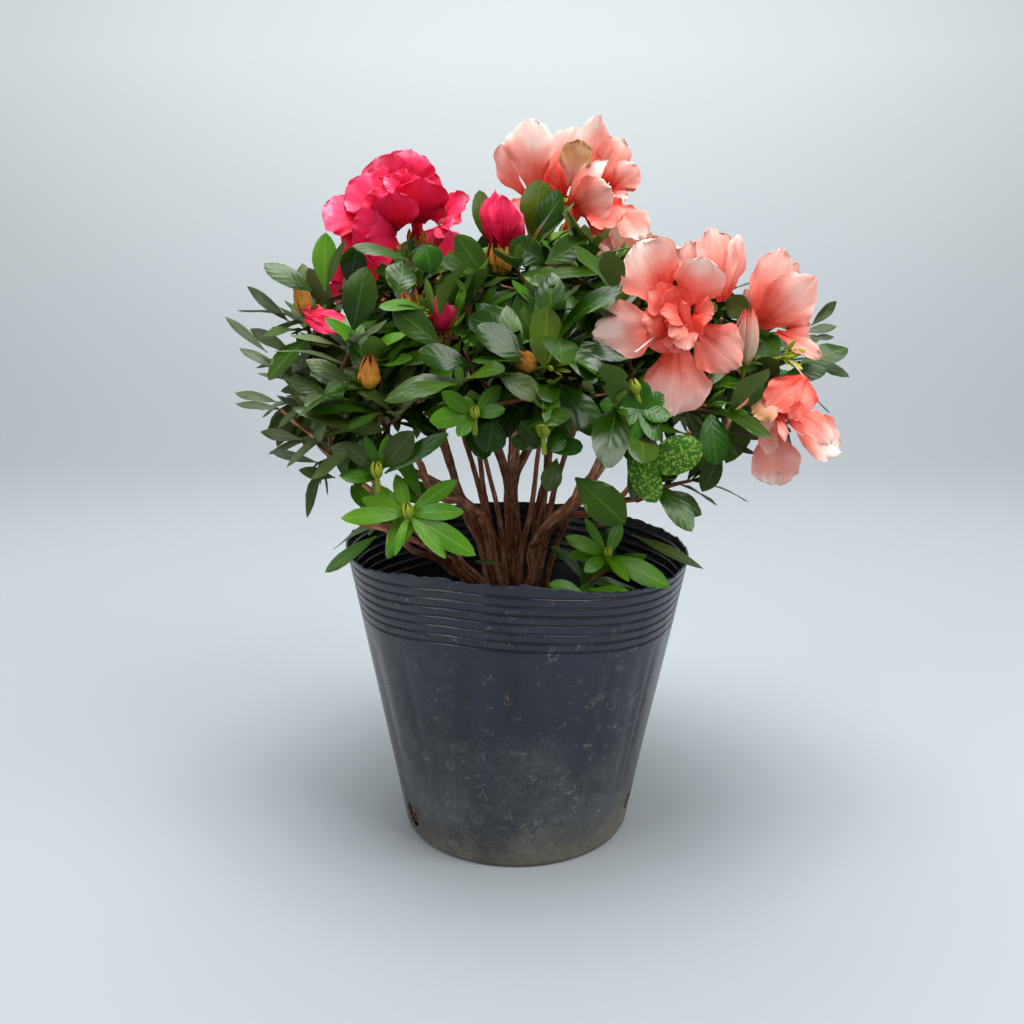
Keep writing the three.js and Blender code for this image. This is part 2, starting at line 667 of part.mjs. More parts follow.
// Whether the line from start to end goes through the flat four-cornered leaf.
function piercesLeaf(start, end, blade) {
  const from = start.clone().sub(blade.middle).dot(blade.upper);
  const to = end.clone().sub(blade.middle).dot(blade.upper);
  if (from * to > 0) return false;
  const point = start.clone().lerp(end, from / (from - to));
  const ring = [blade.root, blade.right, blade.tip, blade.left];
  return ring.every((corner, k) => {
    const edge = ring[(k + 1) % 4].clone().sub(corner);
    return edge.clone().cross(point.clone().sub(corner)).dot(blade.upper) > -edge.length() * leaf.margin;
  });
}

function leavesCross(a, b) {
  if (a.middle.distanceTo(b.middle) > leaf.length * 1.2) return false;
  const pierces = (one, two) => {
    const low = one.root.clone().lerp(one.middle, 0.3);
    const rays = [one.left, one.right, one.tip].map((corner) => [low, corner]);
    const lines = [...rays, [one.left, one.tip], [one.right, one.tip]];
    return lines.some(([start, end]) => piercesLeaf(start, end, two));
  };
  return pierces(a, b) || pierces(b, a);
}

// A new twig leaves the stem or an older twig at a free fork. The forks are tried in the order of their cost:
// the length of the way to the twig's tip, with more for a sharp turn.
function forksByCost(forks, tip) {
  const costOf = ({ place, onward }) => {
    const way = tip.clone().sub(place);
    const distance = way.length();
    const turn = 1 - way.dot(onward) / distance;
    return distance < twig.shortest ? Infinity : distance + twig.bendCost * turn;
  };
  const costs = new Map(forks.map((fork) => [fork, costOf(fork)]));
  return forks.filter((fork) => costs.get(fork) < Infinity).sort((a, b) => costs.get(a) - costs.get(b));
}

const forksAlong = (path, shares, radius) =>
  shares.map((share) => ({ place: path.getPoint(share), onward: path.getTangent(share), radius }));

// What the twigs and leaves of a mass keep clear of: its neighbours' spaces, the limbs and the open blooms.
function growthTests(mass, hubs) {
  const walls = wallsRound(mass, hubs);
  const inside = (point) => walls.every((wall) => point.dot(wall.normal) > wall.offset);
  const offLimbs = (points) =>
    limbBeads.every((bead) => points.every((point) => point.distanceTo(bead.place) > bead.radius));
  const offBlooms = (points) =>
    bloomBalls.every((ball) => points.every((point) => point.distanceTo(ball.place) > ball.radius));
  return {
    twigFits: (points) => points.every(inside) && offLimbs(points),
    leafFits: (points) => points.every(inside) && offLimbs(points) && offBlooms(points),
  };
}

function touchesNothing(solid) {
  const box = solid.boundingBox();
  const isClear = (other) => other.solid.minGap(solid, clearance) >= clearance;
  return obstacles.every((other) => boxesApart(box, other.box, clearance) || isClear(other));
}

// The twigs of a mass, one to each shoot's tip, the longest first.
function growTwigs(stem, shoots, tests, seed) {
  const hub = stem.getPoint(1);
  const forks = forksAlong(stem, twig.stemForks, twig.radius);
  const twigs = [];
  shoots.sort((a, b) => b.tip.distanceTo(hub) - a.tip.distanceTo(hub));
  shoots.forEach((shoot, k) => {
    const random = randomFrom(seed + k);
    const lift = twig.lift * random();
    for (const fork of forksByCost(forks, shoot.tip).slice(0, twig.tries)) {
      const path = bentPath(fork.place, shoot.tip, lift);
      const places = path.getPoints(twig.beads);
      if (!tests.twigFits(places.slice(2))) continue;
      const taper = (share) => fork.radius + (twig.tipRadius - fork.radius) * share;
      const solid = solidFrom(rodAlong(path, taper, twig.sides, twig.steps));
      if (!touchesNothing(solid)) continue;
      const radius = Math.max(twig.tipRadius, fork.radius * twig.forkTaper);
      forks.splice(forks.indexOf(fork), 1, ...forksAlong(path, twig.forks, radius));
      twigs.push({ shoot, path, places, random, solid });
      break;
    }
  });
  return twigs;
}

// A shoot's leaves spread round an axis between the twig's own way and straight out of the crown, and a
// little upward.
function frameOfShoot({ shoot, path }) {
  const outOfCrown = shoot.tip.clone().sub(new THREE.Vector3(crown.x, crown.y, crown.z)).normalize();
  const axis = path.getTangent(1).lerp(outOfCrown, 0.5);
  axis.z += leaf.upward;
  axis.normalize();
  const level = Math.abs(axis.z) > 0.9 ? new THREE.Vector3(1, 0, 0) : up;
  const side = new THREE.Vector3().crossVectors(axis, level).normalize();
  return { axis, side, other: new THREE.Vector3().crossVectors(axis, side) };
}

// Leaf j of a shoot, as it stands at its first try, or turned, raised and made smaller at a later one.
function leafOf({ shoot, path }, frame, phase, j, wobble, attempt) {
  const sway = (attempt % 2 ? 1 : -1) * Math.ceil(attempt / 2) * leaf.turnStep * degree;
  const turn = phase + j * goldenAngle + sway;
  const spread = leaf.lean + (leaf.leanRange * j) / shoot.leaves + leaf.leanWobble * wobble[0];
  const lean = (spread - leaf.raise * attempt) * degree;
  const size = shoot.size * (1 - leaf.shrink * attempt);
  const outward = frame.side.clone().multiplyScalar(Math.cos(turn));
  outward.addScaledVector(frame.other, Math.sin(turn));
  return leafCorners(
    path.getPoint(1 - (0.4 + j * leaf.spacing) / path.getLength()),
    frame.axis.clone().multiplyScalar(Math.cos(lean)).addScaledVector(outward, Math.sin(lean)),
    frame.axis,
    leaf.length * size * (1 + leaf.lengthRange * (wobble[1] - 0.6)),
    leaf.width * size * (1 + leaf.widthRange * (wobble[2] - 0.5)),
  );
}

// The leaves of a mass. One that has no free place after a few tries is skipped.
function growLeaves(twigs, tests) {
  const blades = [];
  const isFree = (blade, ownTwig) => {
    if (!tests.leafFits([blade.left, blade.right, blade.tip, blade.middle])) return false;
    const others = twigs.filter((one) => one !== ownTwig);
    const pierced = ({ places }) => places.slice(1).some((end, n) => piercesLeaf(places[n], end, blade));
    if (others.some(pierced)) return false;
    return blades.every((b) => b.middle.distanceTo(blade.middle) > leaf.crowding && !leavesCross(b, blade));
  };
  for (const grown of twigs) {
    const frame = frameOfShoot(grown);
    const phase = grown.random() * 2 * Math.PI;
    for (let j = 0; j < grown.shoot.leaves; j++) {
      const wobble = [grown.random(), grown.random(), grown.random()];
      for (let attempt = 0; attempt < leaf.tries; attempt++) {
        const blade = leafOf(grown, frame, phase, j, wobble, attempt);
        if (!isFree(blade, grown)) continue;
        blade.solid = leafSolid(blade);
        if (!touchesNothing(blade.solid)) continue;
        blades.push(blade);
        break;
      }
    }
  }
  return blades;
}

// The foliage of one mass: its stem, twigs to the shoots' tips, and a bud or rosette of leaves at each tip.
function massSolid(mass, shoots, hubs) {
  const stem = hubPaths.get(mass.name);
  const tests = growthTests(mass, hubs);
  const rod = solidFrom(rodAlong(stem, () => twig.stemRadius, 5, 1));
  const rooted = mass.limb === "root_crown";
  const freed = rooted ? fatLimbs.reduce((rest, neighbour) => rest.subtract(neighbour), rod) : rod;
  const twigs = growTwigs(stem, shoots, tests, mass.seed);
  const flowers = twigs.filter(({ shoot }) => shoot.bud).map(({ shoot }) => budSolid(shoot.bud));
  const blades = growLeaves(twigs, tests);
  const whole = wasm.Manifold.union([
    freed,
    ...twigs.map(({ solid }) => solid),
    ...flowers.filter(touchesNothing),
    ...blades.map(({ solid }) => solid),
  ]);
  return largestPiece(whole);
}

const shrub = new THREE.Group();
shrub.name = "potted_azalea_shrub";
const obstacles = [];

function addPart(name, solid, colour, roughness) {
  const material = new THREE.MeshStandardMaterial({ color: colours[colour], roughness, metalness: 0 });
  const mesh = new THREE.Mesh(geometryFrom(solid), material);
  mesh.name = name;
  shrub.add(mesh);
  obstacles.push({ name, solid, box: solid.boundingBox() });
}

addPart("pot", potSolid(), "plastic", 0.45);
addPart("soil", soilSolid(), "soil", 0.95);
addPart("root_crown", rootCrownSolid(), "bark", 0.85);

const fatLimbs = [rootCrownSolid(clearance)];
for (const limb of limbs) {
  const path = pathOfLimb(limb);
  limbPaths.set(limb.name, path);
  const cut = fatLimbs.reduce((solid, neighbour) => solid.subtract(neighbour), limbSolid(limb, path));
  fatLimbs.push(limbSolid(limb, path, clearance));
  addPart(limb.name, largestPiece(cut), "bark", 0.85);
}

// Neighbouring blooms press against each other, so each is cut at the plane half-way to the next, and clear
// of its twig.
const fatStalks = blooms.map((flower) => stalkSolid(flower, 2 * clearance)); // twice, for three flat sides
blooms.forEach((flower, index) => {
  let solid = corollaSolid(flower, bloom.seed + index);
  for (const other of blooms) {
    if (other === flower) continue;
    const centre = new THREE.Vector3(...flower.at);
    const next = new THREE.Vector3(...other.at);
    const reach = (flower.petal + other.petal) * bloom.apart;
    if (centre.distanceTo(next) > reach) continue;
    const normal = centre.clone().sub(next).normalize();
    const offset = centre.clone().add(next).multiplyScalar(0.5).dot(normal) + clearance;
    solid = solid.trimByPlane(normal.toArray(), offset);
  }
  fatStalks.forEach((stalk, k) => {
    if (k !== index) solid = solid.subtract(stalk);
  });
  const whole = largestPiece(solid).add(stalkSolid(flower));
  const cut = fatLimbs.reduce((rest, neighbour) => rest.subtract(neighbour), whole);
  addPart(flower.name, largestPiece(cut), flower.slot, 0.6);
});

// Beads along the limbs and balls in the blooms stand in for them where leaves are placed.
const limbBeads = limbs.flatMap((limb) => {
  const path = limbPaths.get(limb.name);
  const count = Math.ceil(path.getLength() / beadPitch);
  return path.getPoints(count).map((place) => ({ place, radius: limb.radii[0] + limbMargin }));
});
const bloomBalls = blooms.flatMap((flower) => {
  const facing = new THREE.Vector3(...flower.facing).normalize();
  const at = new THREE.Vector3(...flower.at);
  return bloom.balls.map(([ahead, radius]) => ({
    place: at.clone().addScaledVector(facing, flower.petal * ahead),
    radius: flower.petal * radius,
  }));
});

const hubPaths = new Map(masses.map((mass) => [mass.name, hubPath(mass)]));
const hubs = new Map(masses.map((mass) => [mass.name, hubPaths.get(mass.name).getPoint(1)]));
const shoots = shootsOfMasses(hubs);
for (const mass of masses) {
  const solid = massSolid(mass, shoots.get(mass.name), hubs);
  addPart(mass.name, solid, mass.young ? "youngLeaves" : "leaves", 0.45);
}

export default shrub;
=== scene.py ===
import json
import math

import bpy
import numpy as np
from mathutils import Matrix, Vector

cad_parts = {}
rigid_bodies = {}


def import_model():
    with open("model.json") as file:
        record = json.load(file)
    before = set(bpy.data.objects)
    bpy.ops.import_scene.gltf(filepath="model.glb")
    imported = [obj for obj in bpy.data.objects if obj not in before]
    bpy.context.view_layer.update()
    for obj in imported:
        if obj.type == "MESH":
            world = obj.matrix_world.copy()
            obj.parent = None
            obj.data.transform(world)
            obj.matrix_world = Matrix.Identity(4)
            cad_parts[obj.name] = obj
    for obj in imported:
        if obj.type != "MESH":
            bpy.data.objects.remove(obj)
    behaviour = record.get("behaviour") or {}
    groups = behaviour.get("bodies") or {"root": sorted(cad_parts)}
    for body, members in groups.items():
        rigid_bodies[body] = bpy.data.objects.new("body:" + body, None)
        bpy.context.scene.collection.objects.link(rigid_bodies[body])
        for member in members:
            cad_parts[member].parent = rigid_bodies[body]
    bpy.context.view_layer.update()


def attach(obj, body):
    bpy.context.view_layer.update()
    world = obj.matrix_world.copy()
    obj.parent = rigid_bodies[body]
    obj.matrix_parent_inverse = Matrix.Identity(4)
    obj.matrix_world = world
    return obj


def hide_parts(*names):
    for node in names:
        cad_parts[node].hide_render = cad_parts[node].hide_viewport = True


# An azalea shrub in flower in its black soft nursery pot. The plans are in millimetres, the meshes in metres.
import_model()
mm = 0.001
goldenAngle = math.pi * (3 - math.sqrt(5))
upward = np.array([0.0, 0.0, 1.0])
# where each random stream starts
seeds = {
    "chips": 11, "crumbs": 12, "thinShoots": 60, "bareTwigs": 80, "stubs": 8, "stubLimbs": 100,
    "sideShoots": 5, "leaves": 3, "blooms": 200, "driedPetals": 9
}


def unit(vectors):
    return vectors / np.maximum(np.linalg.norm(vectors, axis=-1, keepdims=True), 1e-9)


def polar(bearing, reach, height):
    turn = math.radians(bearing)
    return np.array([reach * math.cos(turn), reach * math.sin(turn), height])


def smoothStep(values, low, high):
    share = np.clip((values - low) / (high - low), 0, 1)
    return share * share * (3 - 2 * share)


# The camera that took the photograph: place in mm, degrees it looks down, lens and sensor in mm, and the
# picture's middle and focal length in pixels
photoCamera = {
    "at": (-2.4, -526, 296.5), "down": 13.4, "lens": 36.1, "sensor": 36, "middle": 512, "focal": 1027
}


# The place, to the millimetre, that shows at a pixel of the photograph and lies at the given depth y.
def seenAt(across, down, depth):
    pitch = math.radians(photoCamera["down"])
    ahead = np.array([0, math.cos(pitch), -math.sin(pitch)])
    top = np.array([0, math.sin(pitch), math.cos(pitch)])
    middle, focal, eye = photoCamera["middle"], photoCamera["focal"], np.array(photoCamera["at"])
    way = ahead + np.array([1.0, 0, 0]) * (across - middle) / focal + top * (middle - down) / focal
    return np.round(eye + way * (depth - eye[1]) / way[1])


# A repeatable stream of numbers from 0 to 1, the same stream that the solids are grown with.
def randomFrom(seed):
    state = seed

    def draw():
        nonlocal state
        state = (state + 0x6D2B79F5) & 0xFFFFFFFF
        mixed = ((state ^ (state >> 15)) * (1 | state)) & 0xFFFFFFFF
        mixed ^= (mixed + (((mixed ^ (mixed >> 7)) * (61 | mixed)) & 0xFFFFFFFF)) & 0xFFFFFFFF
        return (mixed ^ (mixed >> 14)) / 4294967296

    return draw


# A path is three points, and a point at share t of it is (1-t)^2 foot + 2t(1-t) middle + t^2 tip.
def bentPath(foot, tip, lift):
    middle = foot + (tip - foot) * (0.5 - 0.5 * lift)
    middle[2] = foot[2] + (tip[2] - foot[2]) * (0.5 + 0.5 * lift)
    return np.array([foot, middle, tip])


def pathPoints(path, shares):
    t = np.asarray(shares, float)[..., None]
    return (1 - t) ** 2 * path[0] + 2 * t * (1 - t) * path[1] + t * t * path[2]


def pathWay(path, shares):
    t = np.asarray(shares, float)[..., None]
    return unit((1 - t) * (path[1] - path[0]) + t * (path[2] - path[1]))


def pathLength(path):
    points = pathPoints(path, np.linspace(0, 1, 101))
    return float(np.linalg.norm(np.diff(points, axis=0), axis=1).sum())


# The rows of a table as dictionaries.
def table(keys, rows):
    return [dict(zip(keys.split(), row)) for row in rows]


def srgb(code):
    channels = [int(code[k:k + 2], 16) / 255 for k in (1, 3, 5)]
    return (*[c / 12.92 if c <= 0.04045 else ((c + 0.055) / 1.055) ** 2.4 for c in channels], 1)


# Adds a node with its settings, its inputs as values or links, and the stops of a colour ramp. It gives back
# the output that is named.
def add(tree, kind, inputs=None, stops=None, out=0, **settings):
    made = tree.nodes.new("ShaderNode" + kind)
    for setting, value in settings.items():
        setattr(made, setting, value)
    for socket, value in (inputs or {}).items():
        if isinstance(value, bpy.types.NodeSocket):
            tree.links.new(value, made.inputs[socket])
        else:
            made.inputs[socket].default_value = value
    for place, (position, colour) in enumerate(stops or []):
        ramp = made.color_ramp.elements
        stop = ramp[place] if place < len(ramp) else ramp.new(position)
        stop.position = position
        stop.color = colour if isinstance(colour, tuple) else (colour, colour, colour, 1)
    return made.outputs[out]


def startMaterial(name, roughness, **sockets):
    material = bpy.data.materials.new(name)
    material.use_nodes = True
    shader = material.node_tree.nodes["Principled BSDF"]
    shader.inputs["Roughness"].default_value = roughness
    for socket, value in sockets.items():
        shader.inputs[socket.replace("_", " ")].default_value = value
    return material, material.node_tree, shader


# Links a material's colour and bump, and lets the given share of the light through a thin blade.
def finishSkin(tree, shader, colour, normal, through=0.0):
    tree.links.new(colour, shader.inputs["Base Color"])
    tree.links.new(normal, shader.inputs["Normal"])
    if through:
        thin = add(tree, "BsdfTranslucent", {"Color": colour})
        mixed = add(tree, "MixShader", {0: through, 1: shader.outputs[0], 2: thin})
        tree.links.new(mixed, tree.nodes["Material Output"].inputs["Surface"])


# Puts points and faces into one mesh piece. Each face set is an array of corner numbers.
def addPiece(name, points, faceSets, materials, slot, replaced=(), uv=None, marks=None, kinds=None, rim=None):
    corners = np.concatenate([faces.ravel() for faces in faceSets]).astype(np.int32)
    counts = np.concatenate([np.full(len(faces), faces.shape[1]) for faces in faceSets])
    mesh = bpy.data.meshes.new(name)
    mesh.vertices.add(len(points))
    mesh.loops.add(len(corners))
    mesh.polygons.add(len(counts))
    mesh.vertices.foreach_set("co", (points * mm).astype(np.float32).ravel())
    mesh.polygons.foreach_set("loop_start", np.concatenate([[0], np.cumsum(counts)[:-1]]).astype(np.int32))
    mesh.polygons.foreach_set("vertices", corners)
    mesh.polygons.foreach_set("use_smooth", np.ones(len(counts), bool))
    if uv is not None:
        mesh.uv_layers.new(name="UVMap").data.foreach_set("uv", uv[corners].astype(np.float32).ravel())
    for mark, values in (marks or {}).items():
        flat = values.ndim == 1
        layer = mesh.attributes.new(mark, "FLOAT" if flat else "FLOAT_VECTOR", "POINT")
        layer.data.foreach_set("value" if flat else "vector", values.astype(np.float32).ravel())
    for material in materials:
        mesh.materials.append(material)
    if kinds is not None:
        mesh.polygons.foreach_set("material_index", kinds.astype(np.int32))
    mesh.update(calc_edges=True)
    if rim is not None:  # a thin blade keeps a crisp edge between its two faces
        ends = np.empty(len(mesh.edges) * 2, np.int32)
        mesh.edges.foreach_get("vertices", ends)
        crisp = rim[ends.reshape(-1, 2)].all(axis=1)
        mesh.attributes.new("sharp_edge", "BOOLEAN", "EDGE").data.foreach_set("value", crisp)
    piece = bpy.data.objects.new(name, mesh)
    bpy.context.scene.collection.objects.link(piece)
    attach(piece, "root")
    if replaced:
        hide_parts(*replaced)
    return piece


# The faces of rows x columns points, closed across where the last column meets the first.
def gridFaces(rows, columns, closed):
    across = columns if closed else columns - 1
    i, j = np.meshgrid(np.arange(rows - 1), np.arange(across), indexing="ij")
    k = (j + 1) % columns
    low, high = i * columns, (i + 1) * columns
    return np.stack([low + j, low + k, high + k, high + j], -1).reshape(-1, 4)


# Many thin closed blades, each from one grid (blades, rows, columns, 3). The under side lies below the upper
# side by the thickness along its normals, and both share the rim.
def closeBlades(grid, thickness):
    blades, rows, columns, _ = grid.shape
    down = unit(np.cross(np.gradient(grid, axis=1), np.gradient(grid, axis=2)))
    under = (grid + thickness * down)[:, 1:-1, 1:-1]
    points = np.concatenate([grid.reshape(blades, -1, 3), under.reshape(blades, -1, 3)], 1)
    inner = (rows - 2) * (columns - 2)
    underIndex = np.arange(rows * columns).reshape(rows, columns)
    underIndex[1:-1, 1:-1] = rows * columns + np.arange(inner).reshape(rows - 2, columns - 2)
    faces = gridFaces(rows, columns, False)
    both = np.concatenate([faces, underIndex.ravel()[faces[:, ::-1]]])
    isRim = np.ones((rows, columns), bool)
    isRim[1:-1, 1:-1] = False
    v, u = np.meshgrid(np.linspace(0, 1, rows), np.linspace(0, 1, columns), indexing="ij")
    uv = np.stack([u, v], -1)
    return {
        "points": points.reshape(-1, 3),
        "faces": (both[None] + np.arange(blades)[:, None, None] * points.shape[1]).reshape(-1, 4),
        "kinds": np.tile(np.repeat([0, 1], len(faces)), blades),
        "rim": np.tile(np.concatenate([isRim.ravel(), np.zeros(inner, bool)]), blades),
        "uv": np.tile(np.concatenate([uv.reshape(-1, 2), uv[1:-1, 1:-1].reshape(-1, 2)]), (blades, 1)),
    }


# Many closed rods (rods, rings, 3): each ring is a polygon round its path, at its radius times the relief.
def roundRods(centres, radii, sides, relief=1.0):
    rods, rings, _ = centres.shape
    way = unit(np.gradient(centres, axis=1))
    level = np.where(np.abs(way[:, :1, 2:]) > 0.8, [1.0, 0, 0], [0, 0, 1.0])
    side = unit(np.cross(way, level))
    other = np.cross(way, side)
    turns = np.arange(sides) / sides * 2 * math.pi
    spread = (radii[..., None] * relief)[..., None]
    ring = np.cos(turns)[:, None] * side[:, :, None] + np.sin(turns)[:, None] * other[:, :, None]
    points = centres[:, :, None] + spread * ring
    steps = np.linalg.norm(np.diff(centres, axis=1, prepend=centres[:, :1]), axis=2)
    runs = np.cumsum(steps, 1)[..., None]
    around = np.broadcast_to(spread[..., 0], (rods, rings, sides))
    place = np.stack(
        [around * np.cos(turns), around * np.sin(turns), np.broadcast_to(runs, around.shape)], -1
    )
    starts = (np.arange(rods) * rings * sides)[:, None, None]
    edge = np.arange(sides)
    caps = np.stack([edge[::-1], (rings - 1) * sides + edge])
    faces = (gridFaces(rings, sides, True)[None] + starts).reshape(-1, 4)
    return points.reshape(-1, 3), [faces, (caps[None] + starts).reshape(-1, sides)], place.reshape(-1, 3) * mm


def joined(parts):
    starts = np.cumsum([0] + [len(points) for points, _, _ in parts])
    points = np.concatenate([part[0] for part in parts])
    faceSets = [faces + start for (_, sets, _), start in zip(parts, starts) for faces in sets]
    return points, faceSets, np.concatenate([part[2] for part in parts])


# The pot

pot = {
    "height": 156, "rimRadius": 90, "baseRadius": 61, "wall": 0.9, "floor": 1.6, "edgeRound": 3,
    "grooves": 7, "groovePitch": 4.6, "grooveDepth": 0.85, "grooveWidth": 0.1, "bandTop": 5, "columns": 288,
    # bearing, foot and top of each hole
    "drainHoles": [(-150, 6, 19), (-20, 10, 23), (57, 3, 14), (123, 3, 14)], "holeWidth": 11,
    # by bearing: the soft band under the rim stands higher on the left than on the right
    "bandBearings": [-170, -137, -113, -98, -85, -69, -55, -45, -20, 20, 90, 150],
    "bandLift": [1.0, 1.3, 3.7, 3.0, 1.5, -1.0, -3.0, -4.0, -4.4, -3.5, 0.0, 0.6],
    # and the cut rim waves a little more
    "rimBearings": [-160, -145, -126, -113, -101, -88, -78, -64, -44, -20, 10, 60, 120, 170],
    "rimLift": [-1.6, -1.4, 0.8, 0.6, -0.4, 1.0, -0.2, -2.0, -2.4, -1.2, -0.4, 0.6, -0.5, 0.8],
    # creases that run down the wall: bearing, lean, width in degrees, depth
    "creases": [
        (-128, 6, 2.2, 0.5), (-60, -4, 2, 0.6), (-33, 2, 1.2, 0.7), (-39, 3, 3, 0.6), (-150, 2, 4, 0.8),
        (40, 5, 3, 0.7), (140, -6, 4, 0.8)
    ],
}


def wallRadius(height):
    return pot["baseRadius"] + (pot["rimRadius"] - pot["baseRadius"]) / pot["height"] * height


# Blown black polythene film: satin and slightly blue, with sheen streaks that run down the wall, partly raised
# by slow waves in its bump and partly painted as lighter streaks in its colour, fine pale strokes and specks,
# dried beige soil dust with a cloudy edge that thickens towards the foot, and painted shade that darkens its
# grooves.
def blownPolythene():
    material, tree, shader = startMaterial("blownPolythene", 0.3, IOR=1.5, Specular_IOR_Level=0.5)
    place = add(tree, "TexCoord", out="Object")
    height = add(tree, "SeparateXYZ", {0: place}, out="Z")
    stretched = add(tree, "Mapping", {0: place, "Scale": (70, 70, 5)})
    # painted sheen: long vertical streaks make the film's colour lighter here and there
    paintedSheenStreaks = add(tree, "TexNoise", {"Vector": stretched, "Scale": 1.0, "Detail": 3.0}, out="Fac")
    filmWithPaintedSheen = add(tree, "ValToRGB", {0: paintedSheenStreaks}, [(0.3, srgb("#0a0f1c")), (0.7, srgb("#171f30"))])
    cloud = add(
        tree, "TexNoise", {"Vector": place, "Scale": 24.0, "Detail": 6.0, "Roughness": 0.65}, out="Fac"
    )
    low = add(tree, "MapRange", {"Value": height, 1: 0.09, 2: 0.0, 3: 0.0, 4: 0.42})
    lowest = add(tree, "MapRange", {"Value": height, 1: 0.014, 2: 0.0, 3: 0.0, 4: 0.09})
    lower = add(tree, "Math", {0: low, 1: lowest}, operation="ADD")
    dusty = add(tree, "Math", {0: cloud, 1: lower}, operation="ADD")
    grit = add(
        tree, "TexNoise", {"Vector": place, "Scale": 620.0, "Detail": 3.0, "Roughness": 0.7}, out="Fac"
    )
    gritty = add(tree, "Math", {0: grit, 1: 0.55, 2: dusty}, operation="MULTIPLY_ADD")
    lessened = add(tree, "Math", {0: gritty, 1: 0.78}, operation="MULTIPLY")
    dust = add(tree, "ValToRGB", {0: lessened}, [(0.62, 0.0), (0.78, 0.16), (1.0, 0.6)])
    dirt = add(tree, "ValToRGB", {0: height}, [(0.004, srgb("#7f7a64")), (0.022, srgb("#6c6c68"))])
    soiled = add(tree, "Mix", {0: dust, 6: filmWithPaintedSheen, 7: dirt}, data_type="RGBA", out=2)
    # strokes are the thin edges of a bent cell pattern, here and there, and more of them low down
    bent = add(tree, "TexNoise", {"Vector": place, "Scale": 90.0, "Detail": 2.0}, out="Color")
    pushed = add(tree, "Mix", {0: 0.02, 6: place, 7: bent}, data_type="RGBA", out=2)
    often = add(tree, "MapRange", {"Value": height, 1: 0.13, 2: 0.02, 3: -0.05, 4: 0.06})
    patches = add(tree, "TexNoise", {"Vector": place, "Scale": 150.0, "Detail": 1.0}, out="Fac")
    lowered = add(tree, "Math", {0: patches, 1: often}, operation="ADD")
    rare = add(tree, "ValToRGB", {0: lowered}, [(0.58, 0.0), (0.66, 0.55)])
    pale = rare
    for scale, thin in ((110.0, 0.012), (260.0, 0.02)):
        cells = {"Vector": pushed, "Scale": scale}
        edge = add(tree, "TexVoronoi", cells, feature="DISTANCE_TO_EDGE", out="Distance")
        hair = add(tree, "ValToRGB", {0: edge}, [(0.0, 1.0), (thin, 0.0)])
        worn = add(tree, "Math", {0: hair, 1: rare}, operation="MULTIPLY")
        pale = worn if pale is rare else add(tree, "Math", {0: pale, 1: worn}, operation="MAXIMUM")
    dots = add(tree, "TexVoronoi", {"Vector": place, "Scale": 420.0}, out="Distance")
    speck = add(tree, "ValToRGB", {0: dots}, [(0.1, 0.8), (0.17, 0.0)])
    specks = add(tree, "Math", {0: speck, 1: rare}, operation="MULTIPLY")
    marked = add(tree, "Math", {0: pale, 1: specks}, operation="MAXIMUM")
    colour = add(tree, "Mix", {0: marked, 6: soiled, 7: srgb("#a3a195")}, data_type="RGBA", out=2)
    # painted shade: the grooves are darkened nearly to black by how deep each point lies in one
    groove = add(tree, "Attribute", attribute_name="groove", out="Fac")
    withPaintedGrooveShade = add(tree, "Mix", {0: groove, 6: colour, 7: srgb("#05070a")}, data_type="RGBA", out=2)
    rough = add(tree, "MapRange", {"Value": dust, 3: 0.27, 4: 0.7})
    tree.links.new(rough, shader.inputs["Roughness"])
    slow = add(tree, "TexNoise", {"Vector": stretched, "Scale": 0.5, "Detail": 2.0}, out="Fac")
    waved = add(tree, "Bump", {"Height": slow, "Strength": 0.4, "Distance": 0.004})
    fine = add(tree, "Bump", {"Height": cloud, "Strength": 0.12, "Distance": 0.001, "Normal": waved})
    finishSkin(tree, shader, withPaintedGrooveShade, fine)
    return material


